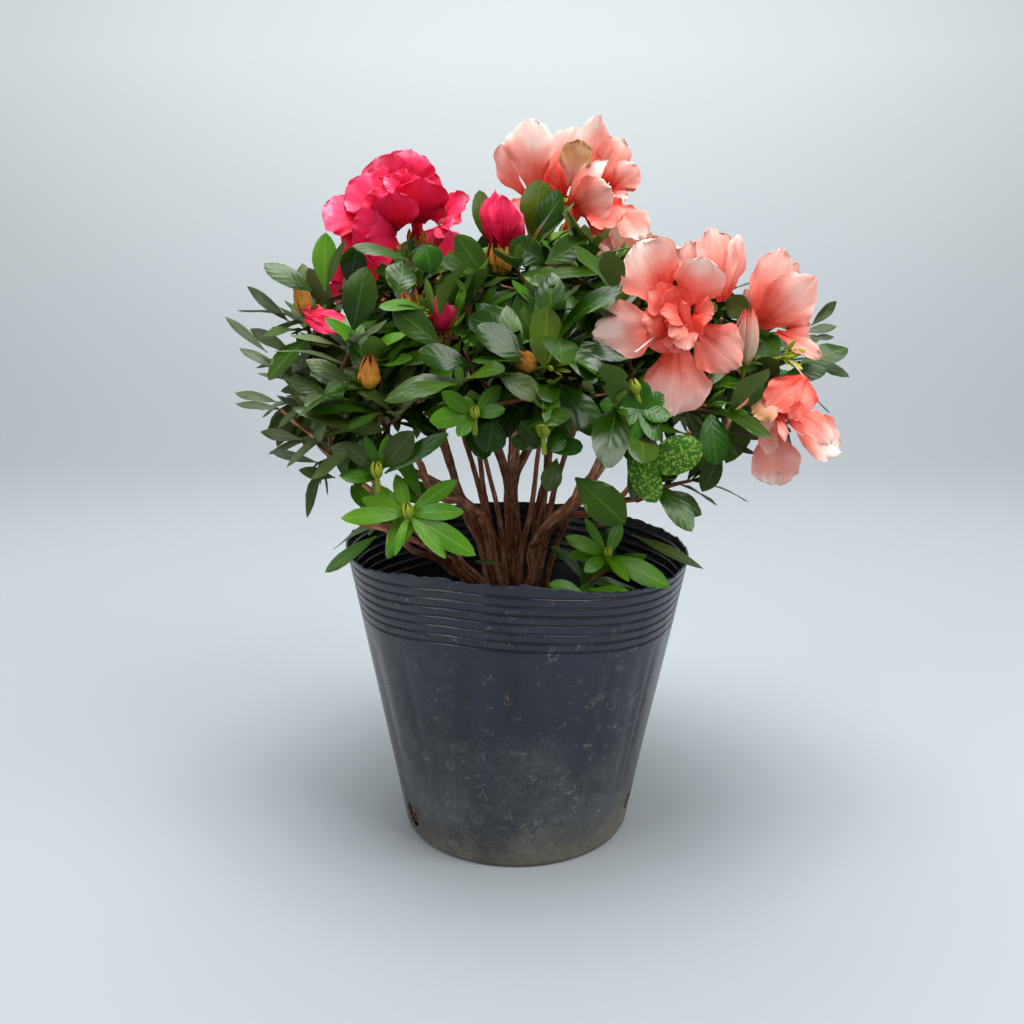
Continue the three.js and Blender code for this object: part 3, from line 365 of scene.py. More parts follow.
# The pot is one profile turned round the axis: out along the underside, up the grooved wall, over the thin
# rim and down the inside. Each ring is pushed in and out by slow waves and creases, and lifted where the band
# sags or rises.
def buildPot():
    top, step, columns = pot["height"], pot["groovePitch"], pot["columns"]
    bandFoot = top - pot["bandTop"] - pot["grooves"] * step
    edge = np.linspace(0, math.pi / 2, 6)
    bottom = wallRadius(0) - pot["edgeRound"]
    footRadii = np.append([24, 40, 54], bottom + (wallRadius(pot["edgeRound"]) - bottom) * np.sin(edge))
    footLevels = np.concatenate([[0, 0, 0], pot["edgeRound"] * (1 - np.cos(edge))])
    spans = [(pot["edgeRound"], 26, 21), (26, bandFoot, 28), (bandFoot, top, 76)]
    heights = np.concatenate([np.linspace(*span)[1:] for span in spans])
    count = (top - pot["bandTop"] - heights) / step
    inBand = (np.round(count) >= 0) & (np.round(count) < pot["grooves"])
    groove = pot["grooveDepth"] * np.exp(-(((count - np.round(count)) / pot["grooveWidth"]) ** 2)) * inBand
    wall = wallRadius(heights) - groove
    lip = wallRadius(top) - pot["wall"] / 2
    radii = np.concatenate([footRadii, wall, [lip], wall[::-1] - pot["wall"], [56, 20]])
    levels = np.concatenate([footLevels, heights, [top + 0.3], heights[::-1], [pot["floor"], pot["floor"]]])
    turns = np.arange(columns) / columns * 2 * math.pi
    bearing = np.degrees(turns)
    band = np.interp(bearing, pot["bandBearings"], pot["bandLift"], period=360)
    ragged = 0.25 * np.sin(61 * turns + 1) + 0.2 * np.sin(97 * turns) + 0.3 * np.sin(29 * turns + 2)
    rim = np.interp(bearing, pot["rimBearings"], pot["rimLift"], period=360) + ragged
    z, t = levels[:, None], turns[None]
    share = z / top
    push = 0.45 * np.sin(3 * t + 0.6 + share) + 0.3 * np.sin(7 * t + 2.1 - 2 * share)
    push = push + 0.15 * np.sin(13 * t + 4 * share)
    for at, lean, width, depth in pot["creases"]:
        off = (np.degrees(t) - at + lean * share + 180) % 360 - 180
        push = push - depth * np.exp(-((off / width) ** 2)) * (1 - smoothStep(z, 100, 125))
    radius = radii[:, None] + push * smoothStep(z, 3, 40)
    lifted = z + band[None] * smoothStep(z, 40, 122) + rim[None] * smoothStep(z, 151.5, top)
    # the drain holes are cells left out of the outer and the inner wall, with their edges drawn to an oval
    outerRow = len(footRadii) + np.arange(len(heights))
    innerRow = len(footRadii) + 2 * len(heights) - np.arange(len(heights))
    kept = np.ones((len(levels) - 1, columns), bool)
    half = int(round(pot["holeWidth"] / 2 / wallRadius(8) / (2 * math.pi / columns)))
    around = np.broadcast_to(t, lifted.shape).copy()
    strips = []
    for hole, foot, head in pot["drainHoles"]:
        low, high = int(np.argmax(heights > foot)), int(np.argmax(heights > head))
        middle = int(round((hole % 360) / 360 * columns))
        block = (np.arange(middle - half, middle + half)) % columns
        kept[np.ix_(outerRow[low:high], block)] = False
        kept[np.ix_(innerRow[low + 1:high + 1], block)] = False
        ring = [(low, j) for j in range(-half, half)] + [(i, half) for i in range(low, high)]
        ring += [(high, j) for j in range(half, -half, -1)] + [(i, -half) for i in range(high, low, -1)]
        rows = np.array([i for i, _ in ring])
        offsets = np.array([j for _, j in ring])
        x, y = offsets / half, (rows - (low + high) / 2) / ((high - low) / 2)
        pull = 1 / np.maximum(np.hypot(x, y), 1) * (1 + 0.12 * np.sin(3 * np.arctan2(y, x) + hole))
        places = (middle + offsets) % columns
        centre = (heights[low] + heights[high]) / 2
        for wallRow in (outerRow, innerRow):
            lifted[wallRow[rows], places] = centre + (lifted[wallRow[rows], places] - centre) * pull
            around[wallRow[rows], places] = (middle + offsets * pull) / columns * 2 * math.pi
        near, far = outerRow[rows] * columns + places, innerRow[rows] * columns + places
        strips.append(np.stack([near, np.roll(near, -1), np.roll(far, -1), far], -1))
    points = np.stack([radius * np.cos(around), radius * np.sin(around), lifted], -1)
    faces = gridFaces(len(levels), columns, True).reshape(len(levels) - 1, columns, 4)[kept]
    ends = np.stack([np.arange(columns)[::-1], (len(levels) - 1) * columns + np.arange(columns)])
    # how deep each ring lies in a groove, which the film's colour uses to paint shade into the grooves
    depth = np.concatenate([0 * footRadii, groove, [0], groove[::-1], [0, 0]]) / pot["grooveDepth"]
    return points.reshape(-1, 3), [faces, *strips, ends], np.repeat(depth, columns)


potPoints, potFaces, paintedGrooveShadeMask = buildPot()
addPiece(
    "nursery_pot", potPoints, potFaces, [blownPolythene()], "pot_plastic", ["pot"],
    marks={"groove": paintedGrooveShadeMask}
)
print("pot done")

# The soil, below the rim and in shade

soil = {"level": 104, "mound": 4, "radius": 77.5, "rows": 60, "columns": 120, "chips": 420, "crumbs": 34}


# Peaty potting soil: near-black brown crumbs with paler fibres, dry on top, so it doesn't shine.
def pottingSoil(name, dark, pale):
    material, tree, shader = startMaterial(name, 0.95)
    place = add(tree, "TexCoord", out="Object")
    crumbs = add(tree, "TexNoise", {"Vector": place, "Scale": 350.0, "Detail": 6.0}, out="Fac")
    colour = add(tree, "ValToRGB", {0: crumbs}, [(0.35, srgb(dark)), (0.68, srgb(pale))])
    bump = add(tree, "Bump", {"Height": crumbs, "Strength": 0.6, "Distance": 0.002})
    finishSkin(tree, shader, colour, bump)
    return material


# The soil is a disc of rings whose height falls from the mound to the wall, with crumbs as a sum of sine
# waves, closed by its side and flat underside.
def buildSoil():
    share = np.linspace(0.02, 1, soil["rows"])[:, None]
    turns = np.arange(soil["columns"])[None] / soil["columns"] * 2 * math.pi
    x, y = share * soil["radius"] * np.cos(turns), share * soil["radius"] * np.sin(turns)
    crumbs = 0.8 * np.sin(0.55 * x + 1) * np.sin(0.6 * y)
    crumbs = crumbs + 0.5 * np.sin(1.3 * x + 0.4 * y) * np.cos(1.1 * y - x)
    crumbs = crumbs + 0.25 * np.sin(3 * x) * np.sin(2.7 * y)
    height = soil["level"] - soil["mound"] * share ** 2 + crumbs
    upper = np.stack([x, y, height], -1)
    foot = wallRadius(3) - 2.2
    lower = np.stack([foot * np.cos(turns), foot * np.sin(turns), np.full_like(turns, 2.2)], -1)
    points = np.concatenate([lower, upper[::-1]])
    ends = np.stack(
        [np.arange(soil["columns"])[::-1], soil["rows"] * soil["columns"] + np.arange(soil["columns"])]
    )
    return points.reshape(-1, 3), [gridFaces(soil["rows"] + 1, soil["columns"], True), ends]


# Bark chips and dried leaf bits: short flat rods strewn over the soil.
def buildChips():
    chance = np.random.default_rng(seeds["chips"])
    count = soil["chips"]
    reach = soil["radius"] * 0.92 * np.sqrt(chance.random(count))
    turn, way = chance.random(count) * 2 * math.pi, chance.random(count) * 2 * math.pi
    level = soil["level"] + 0.6 - soil["mound"] * (reach / soil["radius"]) ** 2
    middle = np.stack([reach * np.cos(turn), reach * np.sin(turn), level], -1)
    along = np.stack([np.cos(way), np.sin(way), 0.5 * (chance.random(count) - 0.5)], -1)
    along = along * (2 + 4 * chance.random((count, 1)))
    centres = middle[:, None] + np.linspace(-1, 1, 3)[None, :, None] * along[:, None]
    radii = (0.5 + 0.7 * chance.random((count, 1))) * np.array([[0.5, 1, 0.4]])
    return roundRods(centres, radii, 4)


addPiece("potting_soil", *buildSoil(), [pottingSoil("pottingSoil", "#120c08", "#3a2a1c")], "soil", ["soil"])
chipPoints, chipFaces, _ = buildChips()
addPiece("bark_chips", chipPoints, chipFaces, [pottingSoil("dryBarkChips", "#3b2415", "#7d5a3a")], "soil")


# Rusty crumbs of root and soil that fill each drain hole: short rods strewn over it just inside the wall.
def buildCrumbs():
    chance = np.random.default_rng(seeds["crumbs"])
    crumbs = []
    for bearing, foot, head in pot["drainHoles"]:
        level = foot + (head - foot) * (0.1 + 0.8 * chance.random(soil["crumbs"]))
        turn = np.radians(bearing + 9 * (chance.random(soil["crumbs"]) - 0.5))
        middle = np.stack([np.cos(turn) * wallRadius(level), np.sin(turn) * wallRadius(level), level], -1)
        middle = middle - 1.6 * np.stack([np.cos(turn), np.sin(turn), 0 * turn], -1)
        along = chance.normal(size=(soil["crumbs"], 3)) * (0.9, 0.9, 1.6)
        crumbs.append(middle[:, None] + np.linspace(-1, 1, 3)[None, :, None] * along[:, None])
    centres = np.concatenate(crumbs)
    radii = (0.5 + 0.8 * chance.random((len(centres), 1))) * np.array([[0.5, 1, 0.4]])
    return roundRods(centres, radii, 5)


crumbPoints, crumbFaces, _ = buildCrumbs()
addPiece(
    "drain_crumbs", crumbPoints, crumbFaces, [pottingSoil("rustySoilCrumbs", "#3a1c0c", "#8a5a30")], "soil"
)
print("soil done")

# The limbs, as in the solids. A stem starts on the soil at a reach from the axis, and a bough at a share of
# its parent. Each tip is a bearing, reach and height.

footLevel = soil["level"] + 7
limbs = table("name parent start tip radii lift flare", [
    ("main_stem", None, 0, (180, 3, 185), (5, 3.6), 0, 2.2),
    ("left_front_stem", None, 7, (-130, 26, 174), (3.3, 2.6), 0.35, 1.2),
    ("right_front_stem", None, 7, (-44, 43, 184), (3.1, 2.3), 0.55, 1.2),
    ("right_back_stem", None, 9, (40, 24, 206), (2.6, 2.1), 0.3, 1),
    ("back_stem", None, 9, (95, 26, 190), (3, 2.4), 0.2, 1),
    ("left_back_stem", None, 9, (155, 35, 178), (3, 2.4), 0.25, 1),
    ("left_low_stem", None, 9, (-160, 54, 166), (2.8, 2.1), 0.1, 1),
    ("front_low_stem", None, 9, (-122, 68, 174), (2.5, 1.9), 0.05, 1),
    ("top_left_bough", "main_stem", 1, (188, 43, 256), (2.5, 1.8), 0.25, 0),
    ("top_bough", "main_stem", 1, (-60, 12, 262), (2.5, 1.8), 0, 0),
    ("top_right_bough", "main_stem", 1, (28, 44, 258), (2.5, 1.8), 0.2, 0),
    ("front_bough", "main_stem", 0.88, (-92, 46, 226), (2.1, 1.6), 0.1, 0),
    ("left_front_bough", "left_front_stem", 1, (-139, 70, 204), (2.3, 1.7), 0.1, 0),
    ("right_front_bough", "right_front_stem", 1, (-42, 70, 222), (2.1, 1.7), 0.1, 0),
    ("right_low_bough", "right_front_stem", 0.72, (-36, 72, 188), (1.7, 1.4), 0, 0),
    ("right_bough", "right_back_stem", 1, (-4, 82, 238), (2, 1.6), 0.1, 0),
    ("right_back_bough", "right_back_stem", 1, (44, 68, 232), (2, 1.6), 0.2, 0),
    ("back_bough", "back_stem", 1, (88, 66, 226), (2.2, 1.6), 0.2, 0),
    ("left_back_bough", "left_back_stem", 1, (134, 70, 226), (2.2, 1.6), 0.2, 0),
    ("left_outer_bough", "left_low_stem", 1, (-160, 96, 218), (2, 1.5), 0, 0),
])
# thin old shoots that stand among the stems: bearing at the foot, tip, radius at foot and tip
thinShoots = [
    (-60, (-28, 40, 238), (1.9, 1.0)), (-100, (-70, 48, 238), (1.7, 0.9)), (20, (60, 50, 240), (1.9, 1.0)),
    (120, (140, 54, 240), (1.9, 1.0)), (60, (100, 48, 240), (1.7, 0.9)), (-150, (-176, 54, 238), (1.8, 0.9)),
    (-20, (-14, 62, 236), (1.6, 0.9)), (-110, (-112, 54, 236), (1.5, 0.9)), (170, (170, 26, 244), (1.8, 1.0)),
]
# bare branches that show against the sky or the pot: foot, tip, radii
bareTwigs = [
    ((-43, -60, 172), (-80, -60, 205), (1.5, 1.1)), ((-80, -60, 205), (-111, -44, 231), (1.1, 0.8)),
    ((-31, -30, 146), (-70, -80, 188), (1.8, 1.2)), ((41, -34, 172), (77, -72, 225), (1.5, 0.9)),
    ((92, -70, 225), (113, -52, 248), (1.2, 1.0)), ((-24, -22, 140), (-45, -58, 170), (2.2, 1.6)),
    ((-45, -58, 170), (-80, -66, 184), (1.6, 1.1)), ((-17, -40, 180), (-36, -60, 193), (2.5, 2.0)),
    ((-36, -60, 193), (-58, -72, 224), (2.0, 1.0)), ((-6, -14, 116), (-17, -40, 180), (2.9, 2.5)),
    ((5, -16, 116), (8, -30, 161), (2.5, 2.3)), ((8, -30, 161), (27, -52, 190), (2.3, 1.8)),
    ((27, -52, 190), (46, -68, 222), (1.8, 1.0)),
]
bark = {"sides": 20, "ringStep": 1.5, "ridge": 0.07, "lumps": 0.07, "sway": 1.3, "collar": 0.45,
        "stubs": 18, "stubRadii": (1.3, 0.8), "stubLength": (4, 5)}
thinFlare = 0.5

limbPaths = {}
for limb in limbs:
    if limb["parent"]:
        foot = pathPoints(limbPaths[limb["parent"]], limb["start"])
    else:
        foot = polar(limb["tip"][0], limb["start"], footLevel)
    limbPaths[limb["name"]] = bentPath(foot, polar(*limb["tip"]), limb["lift"])


# Azalea bark: thin reddish-brown strips that flake along the stem, dark in the cracks between them and paler
# and greyer on their edges. The strips are about 0.6 mm wide and 8 mm long.
def azaleaBark(name, dark, middle, pale, relief):
    material, tree, shader = startMaterial(name, 0.75)
    place = add(tree, "Attribute", attribute_name="barkPlace", out="Vector")
    strips = add(tree, "Mapping", {0: place, "Scale": (900, 900, 90)})
    fibre = add(
        tree, "TexNoise", {"Vector": strips, "Scale": 1.0, "Detail": 5.0, "Distortion": 0.5}, out="Fac"
    )
    patches = add(tree, "TexNoise", {"Vector": place, "Scale": 160.0, "Detail": 3.0}, out="Fac")
    both = add(tree, "Mix", {0: 0.35, 2: fibre, 3: patches})
    stops = [(0.32, srgb(dark)), (0.49, srgb(middle)), (0.66, srgb(pale))]
    colour = add(tree, "ValToRGB", {0: both}, stops)
    bump = add(tree, "Bump", {"Height": fibre, "Strength": relief, "Distance": 0.0015})
    finishSkin(tree, shader, colour, bump)
    return material


# A limb is a rod along its path. Its radius tapers from foot to tip, swells at the foot, and takes long
# ridges that wind round it and slow lumps; its centre line sways a little between its ends.
def buildLimb(path, radii, flare, collar, seed):
    chance = np.random.default_rng(seed)
    rings = max(12, int(pathLength(path) / bark["ringStep"]))
    share = np.linspace(0, 1, rings)
    centres = pathPoints(path, share)
    swayWay = unit(chance.normal(size=(2, 3)))
    for way, waves in zip(swayWay, (2.3, 4.1)):
        sway = bark["sway"] * np.sin(math.pi * share) * np.sin(waves * math.pi * share + chance.random() * 6)
        centres = centres + sway[:, None] * way
    radius = radii[0] + (radii[1] - radii[0]) * share + flare * (1 - share) ** 7
    run = share * pathLength(path)
    radius = radius * (1 + collar * np.exp(-((run / (2.2 * radii[0])) ** 2)))
    turns = np.arange(bark["sides"])[None] / bark["sides"] * 2 * math.pi
    s = run[:, None]
    phase = chance.random(6) * 6.28
    ridges = np.sin(3 * turns + s * 0.09 + phase[0]) + 0.6 * np.sin(5 * turns - s * 0.13 + phase[1])
    ridges = ridges + 0.4 * np.sin(8 * turns + s * 0.3 + phase[2])
    lumps = np.sin(s * 0.31 + phase[3]) * np.sin(turns + phase[4]) + 0.5 * np.sin(s * 0.77 + phase[5])
    relief = 1 + bark["ridge"] * ridges + bark["lumps"] * lumps
    return roundRods(centres[None], radius[None], bark["sides"], relief[None])


rootCrown = {
    "foot": -4, "shoulder": 14, "top": 17, "rows": 28, "sides": 60, "wide": 15, "narrow": 8.5, "close": 4
}


# The root crown swells from the stems to the soil in five lobes that run down into the ground.
def buildRootCrown():
    levels = np.linspace(rootCrown["foot"], rootCrown["top"], rootCrown["rows"])
    spread = (1 - np.clip(levels / 15, 0, 1)[:, None]) ** 1.6
    turns = np.arange(rootCrown["sides"])[None] / rootCrown["sides"] * 2 * math.pi
    radius = rootCrown["wide"] * spread + rootCrown["narrow"] * (1 - spread)
    closing = smoothStep(levels, rootCrown["shoulder"], rootCrown["top"])[:, None]
    radius = radius - rootCrown["close"] * closing
    lobes = 0.13 * np.cos(5 * turns) + 0.05 * np.sin(9 * turns + levels[:, None] * 0.4)
    relief = radius * (1 + lobes + 0.03 * np.sin(17 * turns))
    centres = np.stack([0 * levels, 0 * levels, soil["level"] + levels], -1)
    return roundRods(centres[None], np.ones((1, rootCrown["rows"])), rootCrown["sides"], relief[None])


stemParts, boughParts = [buildRootCrown()], []
for seed, limb in enumerate(limbs):
    parts, collar = (boughParts, bark["collar"]) if limb["parent"] else (stemParts, 0)
    parts.append(buildLimb(limbPaths[limb["name"]], limb["radii"], limb["flare"], collar, seed))
for seed, (footBearing, tip, radii) in enumerate(thinShoots):
    path = bentPath(polar(footBearing, 9, soil["level"] + 2), polar(*tip), 0.25)
    stemParts.append(buildLimb(path, radii, thinFlare, 0, seeds["thinShoots"] + seed))
for seed, (foot, tip, radii) in enumerate(bareTwigs):
    path = bentPath(np.array(foot, float), np.array(tip, float), 0.1)
    boughParts.append(buildLimb(path, radii, 0, 0, seeds["bareTwigs"] + seed))
stubChance = np.random.default_rng(seeds["stubs"])
for seed in range(bark["stubs"]):  # short snapped side shoots
    limb = limbs[seed % 8]
    foot = pathPoints(limbPaths[limb["name"]], 0.2 + 0.7 * stubChance.random())
    way = unit(stubChance.normal(size=3) + (0, 0, 0.5))
    long = bark["stubLength"][0] + bark["stubLength"][1] * stubChance.random()
    path = bentPath(foot, foot + way * long, 0.1)
    boughParts.append(buildLimb(path, bark["stubRadii"], 0, 0, seeds["stubLimbs"] + seed))
oldBark = azaleaBark("flakingAzaleaBark", "#55291a", "#a8623f", "#dfb595", 1.0)
stemNodes = ["root_crown"] + [limb["name"] for limb in limbs if not limb["parent"]]
boughNodes = [limb["name"] for limb in limbs if limb["parent"]]
for name, parts, nodes in [("stems", stemParts, stemNodes), ("boughs", boughParts, boughNodes)]:
    points, faceSets, place = joined(parts)
    addPiece(name, points, faceSets, [oldBark], "bark", nodes, marks={"barkPlace": place})
print("stems and boughs done")

# The crown: shoots are dealt out over a dome, and twigs grow to them from the tips of the boughs

crown = {
    "centre": np.array([10.0, 0.0, 240.0]), "halfWidth": 117, "halfDepth": 104, "rise": 66, "droop": 36,
    "lowest": -0.55, "outerShoots": 46, "innerShoots": 9, "innerShare": 0.62
}
# each mass: the limb that carries it, the start of its random numbers, how far its hub stands from the limb's
# tip, how much of that goes upwards, and whether it has only the placed shoots
masses = table("name limb seed hub up isPlaced", [
    ("foliage_top_left", "top_left_bough", 1000, 12, 0.6, False),
    ("foliage_top", "top_bough", 2000, 12, 0.6, False),
    ("foliage_top_right", "top_right_bough", 3000, 12, 0.5, False),
    ("foliage_front", "front_bough", 4000, 16, 0.1, False),
    ("foliage_left_front", "left_front_bough", 5000, 12, 0.3, False),
    ("foliage_left_outer", "left_outer_bough", 6000, 12, 0.5, False),
    ("foliage_left_back", "left_back_bough", 7000, 12, 0.4, False),
    ("foliage_back", "back_bough", 8000, 14, 0.3, False),
    ("foliage_right_back", "right_back_bough", 9001, 12, 0.4, False),
    ("foliage_right", "right_bough", 10000, 16, 0.2, False),
    ("foliage_right_front", "right_front_bough", 11000, 12, 0.4, False),
    ("foliage_right_low", "right_low_bough", 12000, 10, 0.2, True),
    ("foliage_front_low", "front_low_stem", 13000, 8, 0.5, True),
    ("pot_sprout", "root_crown", 14000, 0, 0, True),
])
sprout = {"foot": (-84, 8, footLevel), "tip": (-47, 40, 130)}
# shoots that hang below the dome or stand out of it: mass, tip, leaves, size, and the kind of their leaves
placedShoots = [
    ("foliage_front_low", (-119, 92, 198), 8, 1.05, "young"),
    ("foliage_front_low", (-131, 92, 205), 6, 0.95, "young"),
    ("foliage_front_low", (-140, 84, 178), 5, 0.9, "young"),
    ("foliage_right_low", (-52, 98, 204), 5, 1, "deep"),
    ("foliage_right_low", (-30, 96, 198), 5, 0.9, "olive"),
    ("foliage_right_front", (-62, 96, 226), 4, 0.9, "round"),
    ("foliage_right_front", (-38, 108, 236), 4, 1, "deep"),
    ("foliage_front", (-70, 84, 252), 5, 0.95, "deep"),
    ("foliage_left_front", (-128, 108, 222), 6, 0.95, "olive"),
    ("foliage_left_outer", (-166, 108, 232), 5, 0.95, "olive"),
    ("foliage_left_outer", (-154, 100, 208), 5, 0.9, "olive"),
    ("foliage_right", (-2, 136, 250), 5, 1.05, "deep"),
    ("pot_sprout", (-44, 62, 152), 8, 0.9, "fresh"),
]
twig = {
    "stemRadius": 2.0, "radius": 1.5, "forkTaper": 0.62, "tipRadius": 0.75, "shortest": 12, "bendCost": 30,
    "beads": 6, "beadStep": 3, "lift": 0.25, "stemForks": (1, 0.7, 0.4), "tries": 4, "forks": (0.35, 0.62),
    "margin": 2, "wallGap": 0.6, "sideShares": (0.3, 0.5, 0.7, 0.88), "sideLean": 50, "sideLength": (12, 26),
    "sideRadii": (0.9, 0.6), "stopShort": 0.64, "rings": 9, "sides": 8
}


def domeTargets(count, share, firstTurn):
    k = np.arange(count)
    height = crown["lowest"] + (1 - crown["lowest"]) * (k + 0.5) / count
    across = np.sqrt(1 - height * height)
    turn = firstTurn + k * goldenAngle
    tall = np.where(height > 0, crown["rise"], crown["droop"])
    x, y = crown["halfWidth"] * across * np.cos(turn), crown["halfDepth"] * across * np.sin(turn)
    return crown["centre"] + share * np.stack([x, y, tall * height], -1)


def hubPath(mass):
    if mass["limb"] == "root_crown":
        return bentPath(polar(*sprout["foot"]), polar(*sprout["tip"]), 0.1)
    path = limbPaths[mass["limb"]]
    onward = pathWay(path, 1.0)
    foot = path[2] - onward  # starts inside the bough's tip
    end = path[2] + onward * (0.3 + mass["hub"] * (1 - mass["up"])) + upward * mass["hub"] * mass["up"]
    return np.array([foot, foot + onward * mass["hub"] * 0.4, end])


hubPaths = {mass["name"]: hubPath(mass) for mass in masses}
hubs = {name: path[2] for name, path in hubPaths.items()}
# beads along every limb, no more than 3 mm apart, that twigs keep clear of
beadCounts = [1 + math.ceil(pathLength(limbPaths[limb["name"]]) / twig["beadStep"]) for limb in limbs]
limbBeads = np.concatenate([
    pathPoints(limbPaths[limb["name"]], np.linspace(0, 1, count)) for limb, count in zip(limbs, beadCounts)])
beadRadii = np.concatenate([
    np.full(count, limb["radii"][0] + twig["margin"]) for limb, count in zip(limbs, beadCounts)])

# buds: mass, place, facing, length, width, and kind
buds = [
    ("foliage_top", (-8, -20, 300), (-0.05, 0, 1), 29, 15.5, "pink"),
    ("foliage_left_outer", (-93, -40, 274), (0.85, -0.2, -0.3), 17, 11, "pink"),
    ("foliage_front", (-33, -66, 265), (-0.05, -0.3, 0.95), 18, 9.5, "pink"),
    ("foliage_front", (6, -88, 255), (-0.6, -0.5, 0.6), 12, 9, "brown"),
    ("foliage_left_front", (-65, -78, 246), (0.1, -0.3, 0.95), 15, 9, "brown"),
    ("foliage_left_outer", (-101, -28, 275), (-0.15, 0, 1), 19, 7.5, "brown"),
    ("foliage_left_front", (-48, -44, 276), (0, -0.2, 1), 13, 11, "spent"),
    ("foliage_right", (104, -52, 254), (0, -0.2, 1), 24, 12, "pale"),
    ("foliage_back", (10, 92, 272), (0.1, 0.4, 0.9), 15, 10, "brown"),
    ("foliage_right_back", (96, 66, 262), (0.4, 0.3, 0.85), 24, 13, "pink"),
]
# small green buds: place, facing, length
greenBuds = [
    ((11, -96, 227), (-0.05, -0.2, 1), 10), ((51, -86, 244), (-0.3, -0.3, 0.9), 7),
    ((-48, -88, 190), (0, -0.4, 0.9), 8), ((-18, -97, 235), (0, -0.4, 0.9), 6),
    ((44, -47, 160), (0, -0.3, 0.9), 6), ((-61, -88, 208), (0, -0.4, 0.9), 8),
]
# where a flower has fallen, its calyx stands open: place, facing
spentCalyxes = [((13, -90, 256), (0.6, -0.75, 0.3)), ((-46, -46, 274), (0.2, -0.8, 0.6))]
# open blooms: throat, facing, the petals' length, the limb and the share of it that they grow from
blooms = table("name at facing petal limb", [
    ("pink_bloom_left", (-69, -12, 318), (-0.4, -0.55, 0.74), 31, ("top_left_bough", 0.86)),
    ("pink_bloom_top", (-50, 6, 326), (0.05, -0.6, 0.8), 33, ("top_left_bough", 0.7)),
    ("pink_bloom_right", (-39, 20, 314), (0.5, 0.3, 0.8), 28, ("top_bough", 0.7)),
    ("pink_bloom_low", (-76, 36, 288), (-0.35, 0.6, 0.6), 26, ("left_back_bough", 0.9)),
    ("salmon_bloom_top_left", (14, 30, 334), (-0.1, -0.15, 0.97), 38, ("top_right_bough", 0.62)),
    ("salmon_bloom_top_right", (34, 19, 331), (0.45, -0.3, 0.84), 38, ("top_right_bough", 0.8)),
    ("salmon_bloom_top_low", (44, 20, 325), (0.86, -0.3, -0.2), 33, ("top_right_bough", 0.93)),
    ("salmon_bloom_front", (69, -66, 270), (0.04, -0.94, 0.34), 40, ("right_bough", 0.38)),
    ("salmon_bloom_middle", (88, -28, 287), (0.25, 0.1, 0.96), 36, ("right_bough", 0.52)),
    ("salmon_bloom_right", (118, -26, 276), (0.8, -0.2, 0.55), 36, ("right_bough", 0.64)),
    ("salmon_bloom_hanging", (122, -50, 236), (0.12, -0.5, -0.85), 37, ("right_bough", 0.76)),
    ("pink_bloom_back", (-44, 88, 284), (-0.2, 0.8, 0.55), 34, ("left_back_bough", 0.95)),
    ("salmon_bloom_back", (62, 84, 284), (0.3, 0.75, 0.6), 36, ("right_back_bough", 0.95)),
])
# what only some have: how wide those open whose petals aren't placed one by one, how far a stalk bends, a tube
# and a calyx that turn aside, and the threads that show
asides = {
    "pink_bloom_low": {"open": 60},
    "salmon_bloom_top_low": {"bend": 0.2},
    "salmon_bloom_front": {"threads": [((65, -76, 272), (49, -94, 262))]},
    "salmon_bloom_hanging": {
        "tube": ((133, -48, 247), (123, -53, 231)), "calyx": (125, -44, 256),
        "calyxFacing": (0.6, -0.7, 0.1), "threads": [((120, -56, 228), (130, -64, 222))]
    },
    "pink_bloom_back": {"open": 66},
    "salmon_bloom_back": {"open": 60},
}
for bloom in blooms:
    bloom.update(asides.get(bloom["name"], {}))
